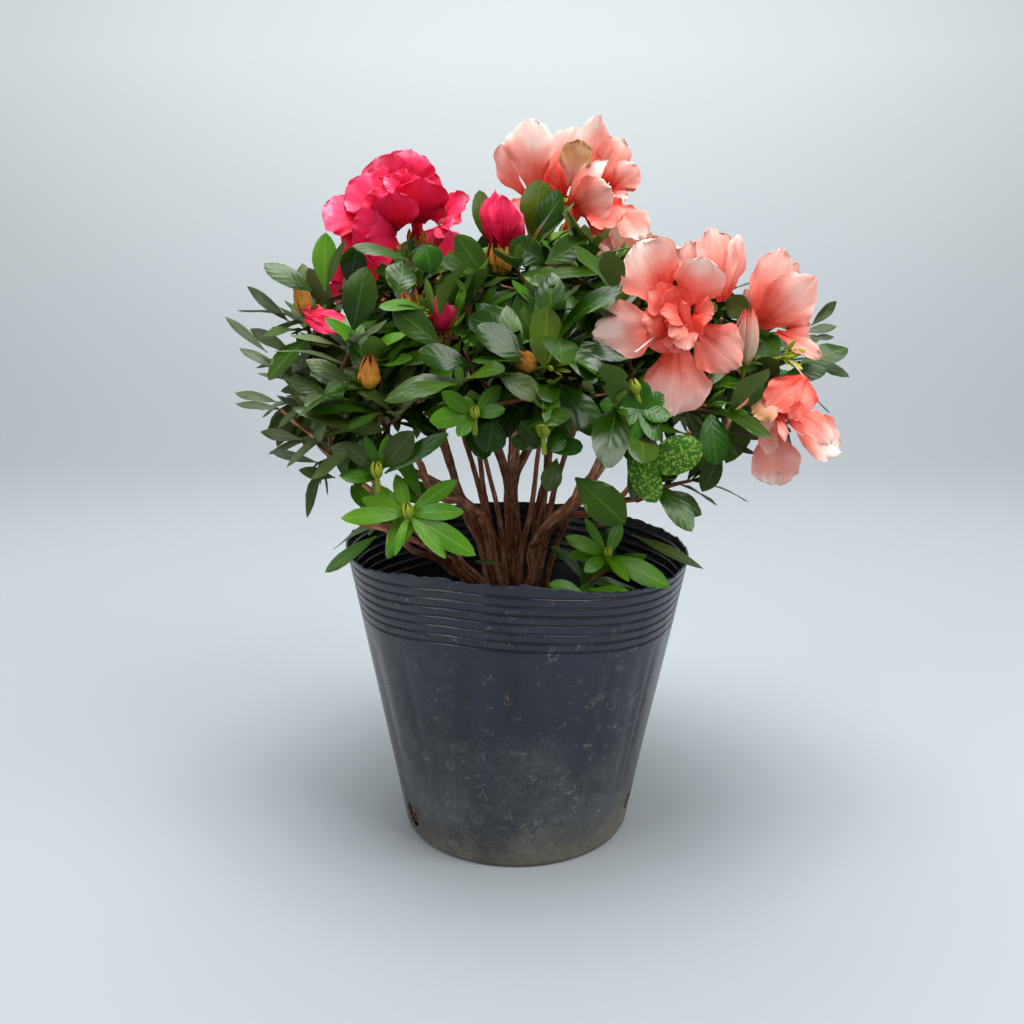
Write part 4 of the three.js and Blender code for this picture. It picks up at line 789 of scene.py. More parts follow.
# the petals of the blooms that show, read off the photograph: root and tip as pixels across and down with a
# depth in mm, width in mm, facing, tone (how much paler, None for a dried one), how much it arches, and how
# pointed it is
seenPetals = {
    "salmon_bloom_top_left": [
        ((534, 192, 22), (529, 117, 17), 25, (-0.15, -1, 0.1), 0.2, 0.1, 0),
        ((527, 194, 26), (500, 142, 30), 20, (-0.9, -0.5, 0), -0.1, 0.1, 0.2),
        ((552, 192, 34), (577, 127, 36), 25, (-0.3, -1, 0.1), 0.1, 0.05, 0.1),
        ((541, 194, 33), (550, 134, 45), 24, (0, -1, 0.2), -0.15, 0, 0),
        ((528, 197, 30), (514, 213, 26), 12, (-0.7, -0.7, 0), 0.1, 0.1, 0.2),
        ((563, 199, 24), (556, 163, 20), 13, (0.2, -1, 0), -0.6, 0.1, 0.1),
    ],
    "salmon_bloom_top_right": [
        ((571, 187, 14), (581, 138, 8), 17, (-0.3, -1, 0.1), None, 0.08, 0),
        ((587, 192, 22), (598, 112, 22), 22, (0.25, -1, 0), 0.1, -0.05, 0.35),
        ((600, 184, 26), (619, 136, 32), 21, (0.6, -0.8, 0), -0.1, 0.08, 0),
        ((568, 208, 12), (610, 159, 2), 15, (-0.5, -0.8, 0.3), 0.2, 0.12, 0.2),
        ((572, 209, 12), (613, 190, -4), 22, (-0.1, -0.95, 0), -0.1, 0.15, 0),
        ((575, 205, 16), (596, 170, 10), 16, (-0.2, -1, 0.1), -0.2, 0.1, 0),
    ],
    "salmon_bloom_top_low": [
        ((608, 192, 24), (640, 166, 20), 16, (0.1, -1, 0.3), 0, 0.05, 0),
        ((613, 192, 20), (622, 202, 12), 10, (0.2, -1, 0), 0.1, 0.1, 0),
        ((590, 206, 12), (617, 227, -4), 20, (0.2, -1, 0.2), -0.55, 0.15, 0),
        ((610, 206, 14), (645, 239, 4), 18, (0.3, -0.9, 0.3), 0.1, 0.1, 0.1),
        ((585, 213, 12), (619, 253, 2), 9, (-0.6, -0.7, 0.4), -0.1, 0.05, 0.8),
        ((592, 234, 26), (612, 251, 22), 13, (0, -1, 0), 0.2, 0, 0.2),
    ],
    "salmon_bloom_front": [
        ((664, 304, -66), (636, 243, -75), 31, (0.1, -1, 0.35), 0.05, 0.06, 0),
        ((692, 306, -66), (706, 256, -78), 23, (-0.15, -1, 0.2), 0, 0.08, 0.1),
        ((692, 326, -68), (741, 368, -78), 26, (-0.2, -1, 0.1), -0.1, 0.06, 0.35),
        ((678, 342, -70), (674, 416, -74), 31, (0, -0.97, 0.3), 0.3, 0.08, 0),
        ((664, 326, -68), (592, 336, -74), 30, (0.1, -1, 0.5), 0.3, 0.05, 0.4),
        ((664, 310, -72), (648, 290, -84), 16, (0.2, -1, 0.2), -0.6, 0.2, 0),
        ((672, 312, -72), (672, 286, -86), 17, (0, -0.9, 0.3), -0.7, 0.25, 0),
        ((664, 322, -72), (642, 322, -86), 14, (0.2, -1, 0.2), -0.7, 0.2, 0),
        ((668, 330, -72), (650, 347, -84), 14, (0.1, -1, 0.2), -0.65, 0.2, 0),
        ((676, 334, -72), (672, 354, -84), 15, (0, -1, 0.1), -0.5, 0.25, 0),
        ((684, 334, -72), (688, 350, -86), 12, (-0.2, -1, 0), -0.2, 0.25, 0.1),
        ((692, 316, -70), (702, 342, -84), 13, (-0.5, -0.8, 0.2), -0.75, 0.2, 0.3),
        ((694, 312, -68), (712, 318, -82), 15, (-0.4, -0.9, 0.2), -0.4, 0.15, 0),
        ((672, 322, -76), (660, 312, -92), 11, (0.3, -0.9, 0.3), -0.75, 0.3, 0),
        ((676, 326, -76), (668, 338, -92), 10, (0.1, -0.9, 0.1), -0.6, 0.3, 0),
        ((680, 318, -76), (690, 306, -88), 12, (-0.3, -0.9, 0.2), -0.75, 0.25, 0),
    ],
    "salmon_bloom_middle": [
        ((722, 302, -36), (712, 227, -30), 20, (-0.1, -1, 0.1), 0, 0.06, 0.1),
        ((725, 300, -34), (740, 232, -32), 12, (0.5, -0.9, 0), 0.05, 0.05, 0.2),
        ((706, 288, -32), (686, 240, -26), 16, (-0.3, -1, 0), -0.05, 0.05, 0.2),
        ((722, 298, -20), (728, 238, -12), 20, (0.2, -1, 0.2), -0.2, 0, 0),
    ],
    "salmon_bloom_right": [
        ((756, 322, -30), (783, 246, -30), 20, (-0.3, -1, 0.1), -0.05, 0.05, 0.15),
        ((757, 328, -34), (817, 277, -40), 27, (0, -1, 0.1), -0.15, 0.08, 0.25),
        ((762, 322, -18), (799, 262, -10), 22, (0.2, -1, 0.2), -0.2, 0, 0.3),
        ((777, 331, -36), (822, 358, -44), 12, (0.1, -0.8, 0.6), 0.1, 0.06, 0.4),
        ((785, 329, -34), (811, 326, -38), 10, (0.1, -0.9, 0.4), -0.1, 0.05, 0.2),
        ((752, 314, -24), (746, 287, -22), 9, (-0.5, -0.8, 0), 0, 0.05, 0.5),
    ],
    "salmon_bloom_hanging": [
        ((772, 424, -52), (777, 488, -54), 23, (-0.1, -1, 0.1), 0.1, 0.06, 0),
        ((766, 422, -56), (771, 456, -60), 10, (-0.4, -0.9, 0.1), -0.15, 0.1, 0.3),
        ((788, 418, -48), (840, 453, -50), 23, (0.2, -0.9, 0.4), 0.15, 0.05, 0),
        ((789, 409, -56), (829, 447, -62), 14, (0.3, -0.8, 0.5), -0.05, 0.15, 0.25),
        ((803, 378, -50), (765, 408, -60), 16, (-0.2, -1, 0.2), -0.45, 0.1, 0),
        ((803, 378, -48), (800, 412, -58), 15, (0.2, -1, 0.1), -0.45, 0.1, 0),
        ((780, 400, -56), (752, 415, -60), 15, (-0.2, -1, 0.3), None, 0.15, 0),
        ((784, 408, -54), (762, 430, -58), 14, (-0.1, -1, 0.1), -0.3, 0.2, 0),
        ((776, 418, -58), (785, 442, -64), 5, (0.1, -1, 0.1), -0.3, 0.2, 0.2),
        ((800, 402, -60), (789, 418, -66), 9, (0.3, -1, 0.1), -0.6, 0.2, 0.2),
    ],
    "pink_bloom_left": [
        ((392, 233, -14), (350, 224, -32), 30, (-0.1, -1, 0), -0.3, 0.12, 0),
        ((392, 231, -12), (393, 191, -30), 23, (0.15, -1, 0.1), -0.25, 0.12, 0),
        ((398, 236, -12), (364, 241, -28), 26, (-0.1, -1, -0.1), -0.15, 0.12, 0),
        ((366, 226, -12), (322, 211, -18), 24, (-0.3, -0.8, 0.6), 0.1, 0.05, 0),
        ((388, 214, -10), (347, 185, -10), 22, (-0.2, -0.85, 0.6), 0.1, 0.05, 0),
        ((388, 218, -14), (364, 196, -20), 18, (-0.1, -0.9, 0.5), 0, 0.1, 0),
        ((390, 212, -6), (374, 178, -4), 20, (-0.1, -0.9, 0.4), -0.1, 0.05, 0),
        ((360, 236, -14), (342, 243, -18), 14, (-0.4, -0.8, -0.1), 0, 0.1, 0.1),
        ((390, 214, -14), (384, 196, -22), 12, (0.1, -0.9, 0.4), -0.1, 0.2, 0),
    ],
    "pink_bloom_top": [
        ((417, 222, 2), (421, 178, -16), 28, (0.15, -1, 0), -0.3, 0.12, 0),
        ((418, 212, 4), (440, 196, -8), 18, (0.4, -0.9, -0.1), -0.1, 0.12, 0),
        ((404, 198, 14), (410, 149, 14), 27, (0, -1, 0.4), 0.1, 0.05, 0),
        ((412, 202, 14), (431, 168, 14), 20, (0.3, -0.9, 0.3), 0.1, 0.05, 0),
        ((398, 198, 12), (376, 156, 10), 24, (-0.2, -0.9, 0.4), 0.1, 0.05, 0),
        ((396, 200, 6), (364, 172, 4), 19, (-0.3, -0.9, 0.4), 0.1, 0.05, 0),
        ((400, 196, 4), (392, 172, -4), 14, (-0.1, -0.9, 0.5), 0, 0.15, 0),
        ((404, 196, 6), (404, 168, 2), 13, (0.1, -0.9, 0.5), -0.2, 0.15, 0),
        ((402, 194, 2), (382, 184, -8), 12, (-0.1, -0.9, 0.5), -0.1, 0.2, 0),
        ((408, 196, 6), (418, 176, 2), 12, (0.2, -0.9, 0.5), -0.1, 0.15, 0),
    ],
    "bud_0": [
        ((497, 246, -22), (495, 190, -26), 14, (-0.6, -0.8, 0), 0, 0.16, 0.2),
        ((504, 247, -26), (499, 194, -30), 17, (0.1, -1, 0), -0.1, 0.16, 0.25),
        ((508, 246, -22), (510, 205, -28), 12, (0.7, -0.7, 0), 0, 0.18, 0.15),
        ((513, 247, -20), (518, 216, -26), 9, (0.4, -0.9, 0), 0.1, 0.16, 0.2),
    ],
    "bud_1": [
        ((304, 312, -44), (346, 326, -50), 10, (0, -0.8, 0.6), 0, 0.12, 0.2),
        ((304, 318, -46), (342, 331, -54), 9, (0, -1, 0.1), -0.1, 0.1, 0.4),
        ((302, 310, -42), (324, 312, -44), 8, (0, -0.7, 0.7), 0.1, 0.1, 0.3),
    ],
    "bud_2": [
        ((442, 330, -70), (439, 291, -72), 9, (0.2, -1, 0), 0.05, 0.12, 0.5),
        ((447, 330, -68), (450, 303, -70), 8, (0.7, -0.8, 0), 0, 0.14, 0.3),
    ],
    "pink_bloom_right": [
        ((440, 217, 20), (470, 196, 16), 15, (0, -0.8, 0.6), 0.1, 0.05, 0.3),
        ((436, 222, 24), (456, 206, 28), 18, (0.1, -0.9, 0.4), -0.2, 0.05, 0),
        ((442, 226, 14), (455, 224, 8), 9, (0.1, -0.8, 0.6), 0.1, 0.1, 0.2),
        ((438, 226, 14), (446, 238, 8), 9, (0.1, -1, 0), 0, 0.1, 0.2),
    ],
}
# leaves that stand out from the rest, read off the photograph in the same way: kind, root, tip, width, facing
seenLeaves = [
    ("deep", (352, 331, -64), (366, 267, -66), 16, (0.1, -1, 0.1)),
    ("young", (324, 291, -40), (327, 232, -42), 12, (-0.1, -1, 0)),
    ("olive", (327, 288, -42), (348, 239, -46), 6, (-0.5, -0.8, 0)),
    ("gloss", (350, 286, -30), (357, 246, -34), 13, (0, -1, 0.2)),
    ("deep", (408, 259, -42), (351, 248, -52), 8, (0, -0.6, 0.8)),
    ("round", (430, 273, -52), (425, 246, -50), 14, (0, -1, 0.3)),
    ("gloss", (397, 295, -62), (404, 265, -52), 15, (0, -0.7, 0.7)),
    ("gloss", (488, 285, -44), (437, 257, -50), 11, (0, -0.7, 0.7)),
    ("deep", (488, 281, -44), (455, 235, -42), 13, (-0.2, -0.9, 0.4)),
    # leaves of the backlit kind carry painted light through them in their colour
    ("paintedBacklit", (535, 236, -4), (539, 179, -6), 18, (-0.1, -1, 0)),
    ("gloss", (537, 245, -12), (559, 189, -12), 13, (0.1, -0.85, 0.5)),
    ("olive", (537, 244, -14), (575, 205, -10), 5, (0, -0.6, 0.8)),
    ("gloss", (545, 262, -34), (508, 244, -38), 15, (0, -0.9, 0.4)),
    ("deep", (546, 263, -38), (588, 240, -34), 14, (0, -0.9, 0.45)),
    ("paintedBacklit", (487, 238, -6), (480, 190, -4), 10, (-0.3, -1, 0)),
    ("paintedBacklit", (640, 306, -62), (613, 271, -58), 15, (0, -1, 0.2)),
    ("gloss", (560, 344, -90), (625, 359, -96), 9, (0, -0.65, 0.75)),
    ("deep", (576, 477, -90), (624, 524, -98), 17, (0, -0.9, 0.45)),
    ("mottled", (646, 470, -86), (703, 443, -86), 17, (0, -0.95, 0.3)),
    ("mottled", (630, 447, -84), (656, 503, -92), 13, (0.1, -1, 0.2)),
    ("round", (712, 414, -72), (716, 466, -78), 14, (0, -1, 0.2)),
    ("olive", (723, 452, -66), (701, 492, -68), 10, (0.1, -1, 0.2)),
    ("deep", (765, 375, -58), (738, 405, -62), 13, (0.1, -0.9, 0.3)),
    ("olive", (753, 316, -52), (725, 299, -48), 12, (0, -1, 0.1)),
    ("olive", (811, 326, -20), (836, 301, -14), 6, (0, -0.9, 0.4)),
    ("grey", (802, 333, -24), (837, 327, -20), 5, (0, -0.8, 0.6)),
    ("grey", (809, 338, -24), (834, 338, -20), 3.5, (0, -0.8, 0.6)),
    ("deep", (800, 362, -30), (848, 350, -24), 12, (0, -0.9, 0.4)),
    ("deep", (780, 377, -40), (827, 371, -40), 9, (0, -0.8, 0.6)),
    ("grey", (727, 431, -50), (760, 440, -46), 4, (0, -0.7, 0.7)),
    ("grey", (722, 443, -50), (756, 454, -46), 4.5, (0, -0.7, 0.7)),
    ("olive", (632, 534, -50), (703, 571, -64), 6, (0, -0.7, 0.7)),
    ("fresh", (377, 536, -68), (326, 573, -74), 7, (0, -0.8, 0.6)),
    ("deep", (663, 490, -66), (701, 514, -64), 10, (0, -0.8, 0.5)),
    ("paintedBacklit", (545, 367, -94), (546, 307, -94), 16, (0.1, -1, 0.1)),
    ("gloss", (550, 384, -94), (605, 437, -96), 15, (0, -0.9, 0.4)),
    ("olive", (495, 371, -96), (546, 403, -100), 12, (0, -0.9, 0.4)),
    ("gloss", (529, 362, -94), (477, 325, -96), 14, (0, -0.85, 0.5)),
    ("gloss", (470, 365, -88), (418, 352, -92), 12, (0, -0.85, 0.5)),
    ("deep", (440, 345, -84), (392, 308, -84), 13, (0, -0.85, 0.5)),
    ("gloss", (505, 335, -86), (468, 318, -84), 12, (0, -0.8, 0.6)),
    ("olive", (556, 458, -88), (548, 492, -92), 10, (0, -1, 0.1)),
    ("gloss", (493, 418, -94), (488, 453, -96), 15, (0, -0.9, 0.3)),
    # the shoot above the low one
    ("olive", (382, 470, -86), (414, 430, -92), 12, (0.2, -0.9, 0.3)),
    ("olive", (376, 470, -86), (345, 445, -92), 7, (-0.2, -0.9, 0.3)),
    ("fresh", (379, 468, -86), (364, 436, -88), 5, (0, -1, 0.2)),
    ("young", (380, 468, -86), (387, 434, -86), 5, (0.1, -1, 0.2)),
    ("fresh", (384, 474, -86), (450, 435, -90), 8, (0, -0.8, 0.6)),
    ("fresh", (376, 478, -86), (338, 477, -92), 9, (0, -0.8, 0.6)),
    # round the green bud
    ("round", (545, 446, -92), (568, 441, -96), 8, (0.2, -0.8, 0.6)),
    ("round", (547, 449, -92), (583, 448, -94), 8, (0.2, -0.8, 0.6)),
    ("deep", (541, 446, -92), (510, 441, -94), 8, (-0.2, -0.8, 0.6)),
    ("deep", (541, 444, -92), (520, 422, -94), 9, (-0.1, -0.9, 0.4)),
    # the left edge
    ("grey", (268, 352, -20), (226, 319, -10), 5, (0, -0.8, 0.6)),
    ("grey", (290, 322, -30), (248, 287, -22), 6, (0, -0.9, 0.4)),
    ("deep", (312, 290, -36), (264, 263, -34), 11, (0, -0.9, 0.4)),
    ("olive", (284, 372, -26), (240, 350, -16), 6, (0, -0.8, 0.5)),
    ("grey", (278, 402, -30), (235, 394, -22), 6, (0, -0.8, 0.5)),
    ("grey", (282, 409, -34), (237, 405, -26), 5, (0, -0.8, 0.6)),
    ("olive", (302, 440, -44), (262, 432, -36), 6, (0, -0.9, 0.4)),
    ("grey", (318, 462, -50), (272, 452, -44), 5, (0, -0.9, 0.4)),
    ("olive", (292, 352, -34), (250, 330, -26), 7, (0, -0.8, 0.6)),
    ("olive", (335, 478, -56), (300, 470, -54), 6, (0, -0.9, 0.4)),
    ("olive", (330, 400, -60), (290, 378, -56), 9, (0, -0.8, 0.6)),
    ("grey", (345, 410, -66), (300, 398, -60), 7, (0, -0.8, 0.6)),
    ("olive", (352, 385, -70), (306, 360, -66), 9, (0, -0.85, 0.5)),
    ("olive", (385, 430, -80), (345, 425, -82), 9, (0, -0.85, 0.5)),
    ("grey", (372, 452, -78), (330, 450, -76), 8, (0, -0.85, 0.5)),
]


# A rosette seen from its front: its middle, its leaves' width, and each leaf's tip with its share of that.
def rosette(kind, middle, width, tips):
    ring = []
    for number, (*tip, share) in enumerate(tips):
        away = unit(np.array(tip[:2]) - np.array(middle[:2]))
        turned = 0.35 * away[0] + 0.15 * (number * 7 % 3 - 1)
        facing = (round(turned, 2), -0.85, round(0.45 - 0.3 * away[1], 2))
        ring.append((kind, middle, tip, round(width * share, 1), facing))
    return ring


seenLeaves += rosette("fresh", (475, 414, -96), 9, [
    (429, 422, -100, 1.1), (442, 393, -98, 0.8), (464, 398, -92, 0.6), (502, 385, -92, 0.8),
    (505, 410, -100, 0.7), (458, 436, -104, 0.8)])
seenLeaves += rosette("round", (640, 409, -86), 9, [
    (611, 384, -84, 1), (598, 405, -86, 1), (607, 430, -90, 1), (630, 442, -92, 1), (657, 441, -92, 1),
    (670, 418, -90, 1), (642, 380, -82, 0.9), (664, 394, -84, 0.9)])
seenLeaves += rosette("young", (608, 555, -44), 8, [
    (564, 536, -50, 1), (585, 517, -40, 0.6), (620, 521, -36, 0.9), (671, 587, -64, 1.4), (628, 582, -60, 1),
    (566, 556, -44, 0.8), (584, 573, -56, 0.9)])
seenLeaves += [("young", (581, 591, -54), (548, 585, -56), 7.5, (0, -0.8, 0.6)),
               ("young", (590, 589, -54), (640, 597, -64), 7.5, (0.1, -0.8, 0.6))]
seenLeaves += rosette("young", (409, 514, -86), 8.5, [
    (341, 519, -92, 1), (362, 500, -84, 0.9), (396, 474, -78, 0.8), (457, 480, -86, 0.9), (465, 513, -92, 1),
    (445, 560, -100, 0.9), (475, 556, -98, 1.25), (395, 557, -98, 0.5), (372, 486, -78, 0.8)])
seenLeaves += [("grey", (500, 563, -66), (474, 562, -62), 3, (0, -0.7, 0.7))]
placedPetals = {name: [(seenAt(*root), seenAt(*tip), *rest) for root, tip, *rest in rows]
                for name, rows in seenPetals.items()}
placedLeaves = [(kind, seenAt(*root), seenAt(*tip), *rest) for kind, root, tip, *rest in seenLeaves]


# Random leaves keep out of balls round the blooms, and out of the space before the placed leaves.
def clearBalls():
    balls = []
    for bloom in blooms:
        if bloom["name"] in placedPetals:
            for root, tip, width, *rest in placedPetals[bloom["name"]]:
                middle = root * 0.45 + tip * 0.55
                for shift in (0, 9, 18):
                    balls.append((*(middle + shift * np.array([0, -1, 0.2])), 4 + width * 0.42))
        else:
            facing = unit(np.array(bloom["facing"]))
            for ahead, radius in ((0.25, 0.72), (0.8, 0.66)):
                middle = np.array(bloom["at"]) + facing * bloom["petal"] * ahead
                balls.append((*middle, bloom["petal"] * radius))
    for _, root, tip, width, facing in placedLeaves:
        middle = (root + tip) / 2 + unit(np.array(facing, float)) * 9
        balls.append((*middle, 7 + width * 0.35))
    for _, at, facing, length, width, _ in buds:
        way = unit(np.array(facing, float)) * length
        balls += [(*(np.array(at) + way * 0.5 + (0, ahead, 2)), 2 + length * 0.42) for ahead in (-4, -14)]
        balls.append((*(np.array(at) - way * 0.05 + (0, -14, 1)), 2 + length * 0.36))
    # before the lowest petal of the front bloom, and before two of the buds
    balls += [(68, -90, 246, 14), (60, -101, 254, 14), (-30, -84, 281, 10), (-6, -40, 298, 9)]
    return np.array(balls)


bloomBalls = clearBalls()


def dealShoots():
    shoots = {mass["name"]: [] for mass in masses}
    growing = [mass["name"] for mass in masses if not mass["isPlaced"]]
    outer = domeTargets(crown["outerShoots"], 1, 0.4)
    inner = domeTargets(crown["innerShoots"], crown["innerShare"], 1.9)
    for targets, leaves, size in ((outer, 7, 1), (inner, 4, 0.95)):
        for tip in targets:
            nearest = min(growing, key=lambda name: np.linalg.norm(hubs[name] - tip))
            shoots[nearest].append({"tip": tip, "leaves": leaves, "size": size, "kind": None})
    for name, tip, leaves, size, kind in placedShoots:
        shoots[name].append({"tip": polar(*tip), "leaves": leaves, "size": size, "kind": kind})
    for name, at, _, _, _, _ in buds:
        shoots[name].append({"tip": np.array(at, float), "leaves": 5, "size": 1, "kind": None, "bud": True})
    return shoots


def offThings(points):
    fromLimbs = np.linalg.norm(points[:, None] - limbBeads[None], axis=2) > beadRadii[None]
    return bool(fromLimbs.all())


# Twigs grow to the shoots' tips, the furthest first, each from the cheapest free fork: the length of its way,
# with more for a sharp turn. A twig that would leave its mass's space or touch a limb tries the next fork.
def growTwigs(mass, shoots):
    stem, hub = hubPaths[mass["name"]], hubs[mass["name"]]
    others = np.array([hubs[other["name"]] for other in masses if other is not mass])
    wallWay = unit(hub - others)
    wallAt = (((hub + others) / 2) * wallWay).sum(1) + twig["wallGap"]
    forks = [(pathPoints(stem, share), pathWay(stem, share), twig["radius"]) for share in twig["stemForks"]]
    grown = [
        {"path": stem, "radii": (twig["stemRadius"], twig["stemRadius"] * 0.9), "shoot": None, "mass": mass}
    ]
    for k, shoot in enumerate(sorted(shoots, key=lambda one: -np.linalg.norm(one["tip"] - hub))):
        draw = randomFrom(mass["seed"] + k)
        lift = twig["lift"] * draw()
        costs = []
        for number, (place, onward, radius) in enumerate(forks):
            way = shoot["tip"] - place
            distance = np.linalg.norm(way)
            if distance >= twig["shortest"]:
                costs.append((distance + twig["bendCost"] * (1 - way @ onward / distance), number))
        for _, number in sorted(costs)[:twig["tries"]]:
            place, onward, radius = forks[number]
            path = bentPath(place, shoot["tip"], lift)
            beads = pathPoints(path, np.linspace(0, 1, twig["beads"] + 1))[2:]
            if not ((beads @ wallWay.T > wallAt).all() and offThings(beads)):
                continue
            finer = max(twig["tipRadius"], radius * twig["forkTaper"])
            forks[number:number + 1] = [
                (pathPoints(path, share), pathWay(path, share), finer) for share in twig["forks"]
            ]
            radii = (radius, twig["tipRadius"])
            grown.append({"path": path, "radii": radii, "shoot": shoot, "mass": mass, "draw": draw})
            break
    return grown


# Finer shoots leave each twig on alternate sides and end inside the crown, short of its tips.
def growSideShoots(grown, chance):
    sides = []
    for one in grown:
        if one["shoot"] is None or one["shoot"]["kind"] is not None and one["mass"]["name"] == "pot_sprout":
            continue
        turn = chance.random() * 6.28
        for share in twig["sideShares"]:
            turn += goldenAngle
            place, onward = pathPoints(one["path"], share), pathWay(one["path"], share)
            if pathLength(one["path"]) * share < 9:
                continue
            side = unit(np.cross(onward, upward + 0.01))
            outward = side * math.cos(turn) + np.cross(onward, side) * math.sin(turn)
            lean = math.radians(twig["sideLean"] * (0.8 + 0.4 * chance.random()))
            way = unit(onward * math.cos(lean) + outward * math.sin(lean) + upward * 0.25)
            shortest, longest = twig["sideLength"]
            tip = place + way * (shortest + chance.random() * (longest - shortest))
            path = bentPath(place, tip, 0.2)
            tall = crown["rise"] if tip[2] > crown["centre"][2] else crown["droop"]
            inside = np.linalg.norm((tip - crown["centre"]) / (crown["halfWidth"], crown["halfDepth"], tall))
            clear = np.linalg.norm(tip - bloomBalls[:, :3], axis=1) > bloomBalls[:, 3]
            if inside > 0.97 or not clear.all() or not offThings(pathPoints(path, np.linspace(0.4, 1, 4))):
                continue
            shoot = {"tip": tip, "leaves": 5, "size": 0.85, "kind": one["shoot"]["kind"]}
            sides.append({"path": path, "radii": twig["sideRadii"], "shoot": shoot, "mass": one["mass"],
                          "draw": chance.random})
    return sides


shoots = dealShoots()
twigs = [one for mass in masses for one in growTwigs(mass, shoots[mass["name"]])]
twigs += growSideShoots(twigs, np.random.default_rng(seeds["sideShoots"]))
print(f"{len(twigs)} twigs grown")

# Leaves: a rosette at each twig's end

# Each kind: length and width in mm, how pointed its tip is, droop and fold in radians, the colours of its
# upper side, middle vein and under side, and roughness
kindNames = ("gloss", "deep", "fresh", "olive", "grey", "young", "round", "paintedBacklit", "mottled")
leafKinds = dict(zip(kindNames, table("size tip droop fold upper vein under rough", [
    ((35, 14), 0.7, 0.35, 0.26, ("#173202", "#2e4f07"), "#4c7624", "#5c7434", 0.24),
    ((35, 13), 0.75, 0.32, 0.28, ("#223f03", "#3c5c09"), "#608628", "#657a3a", 0.3),
    ((33, 12.5), 0.75, 0.32, 0.3, ("#32620a", "#4c820f"), "#7ca232", "#78933e", 0.33),
    ((33, 9.5), 0.9, 0.25, 0.32, ("#33470f", "#4d6026"), "#788846", "#7a8452", 0.36),
    ((31, 8), 0.9, 0.25, 0.35, ("#42522e", "#617049"), "#89956c", "#959d84", 0.4),
    ((33, 11.5), 0.8, 0.36, 0.3, ("#45820c", "#6da321"), "#a0c452", "#98b65c", 0.34),
    ((22, 13), 0.48, 0.3, 0.2, ("#1c4402", "#346a0a"), "#568226", "#647c3c", 0.26),
    # painted light: this kind's yellow-green colours stand in for light shining through the leaf from behind
    ((33, 12.5), 0.6, 0.3, 0.2, ("#43590a", "#5a7412"), "#7e9640", "#6c7e36", 0.34),
    ((38, 16), 0.55, 0.3, 0.16, ("#2c6010", "#84a03c"), "#8ca646", "#8d9c58", 0.32),
])))
leaf = {
    "spacing": 2.0, "lean": 30, "leanRange": 48, "leanWobble": 14, "steepest": 104, "lengthRange": 0.3,
    "widthRange": 0.3, "upward": 0.45, "skyward": 0.9, "extra": 4, "crowding": 4.6, "thickness": 0.35,
    # no leaf dips over the pot's rim or hides the bare stems
    "widest": 0.58, "rimTop": 162, "rimReach": 82, "stemTop": 219, "stemSides": (-52, 40),
    "stations": [0, 0.06, 0.18, 0.34, 0.5, 0.66, 0.81, 0.93, 1], "across": [-1, -0.55, 0, 0.55, 1]
}


def kindAt(place, chance):
    x, y, z = place
    pick = chance.random()
    if x < -70:
        return "olive" if pick < 0.42 else "grey" if pick < 0.7 else "deep" if pick < 0.97 else "fresh"
    if x < -20 and z > 262:
        return "fresh" if pick < 0.35 else "deep" if pick < 0.75 else "gloss"
    if z < 215:
        return "olive" if pick < 0.3 else "deep" if pick < 0.75 else "fresh"
    if z > 270 or y > 30:
        return "gloss" if pick < 0.5 else "deep" if pick < 0.85 else "fresh"
    return "gloss" if pick < 0.4 else "deep" if pick < 0.75 else "fresh" if pick < 0.92 else "olive"


def clearOfBlooms(points):
    away = np.linalg.norm(points[:, None] - bloomBalls[None, :, :3], axis=2)
    return bool((away > bloomBalls[None, :, 3]).all())


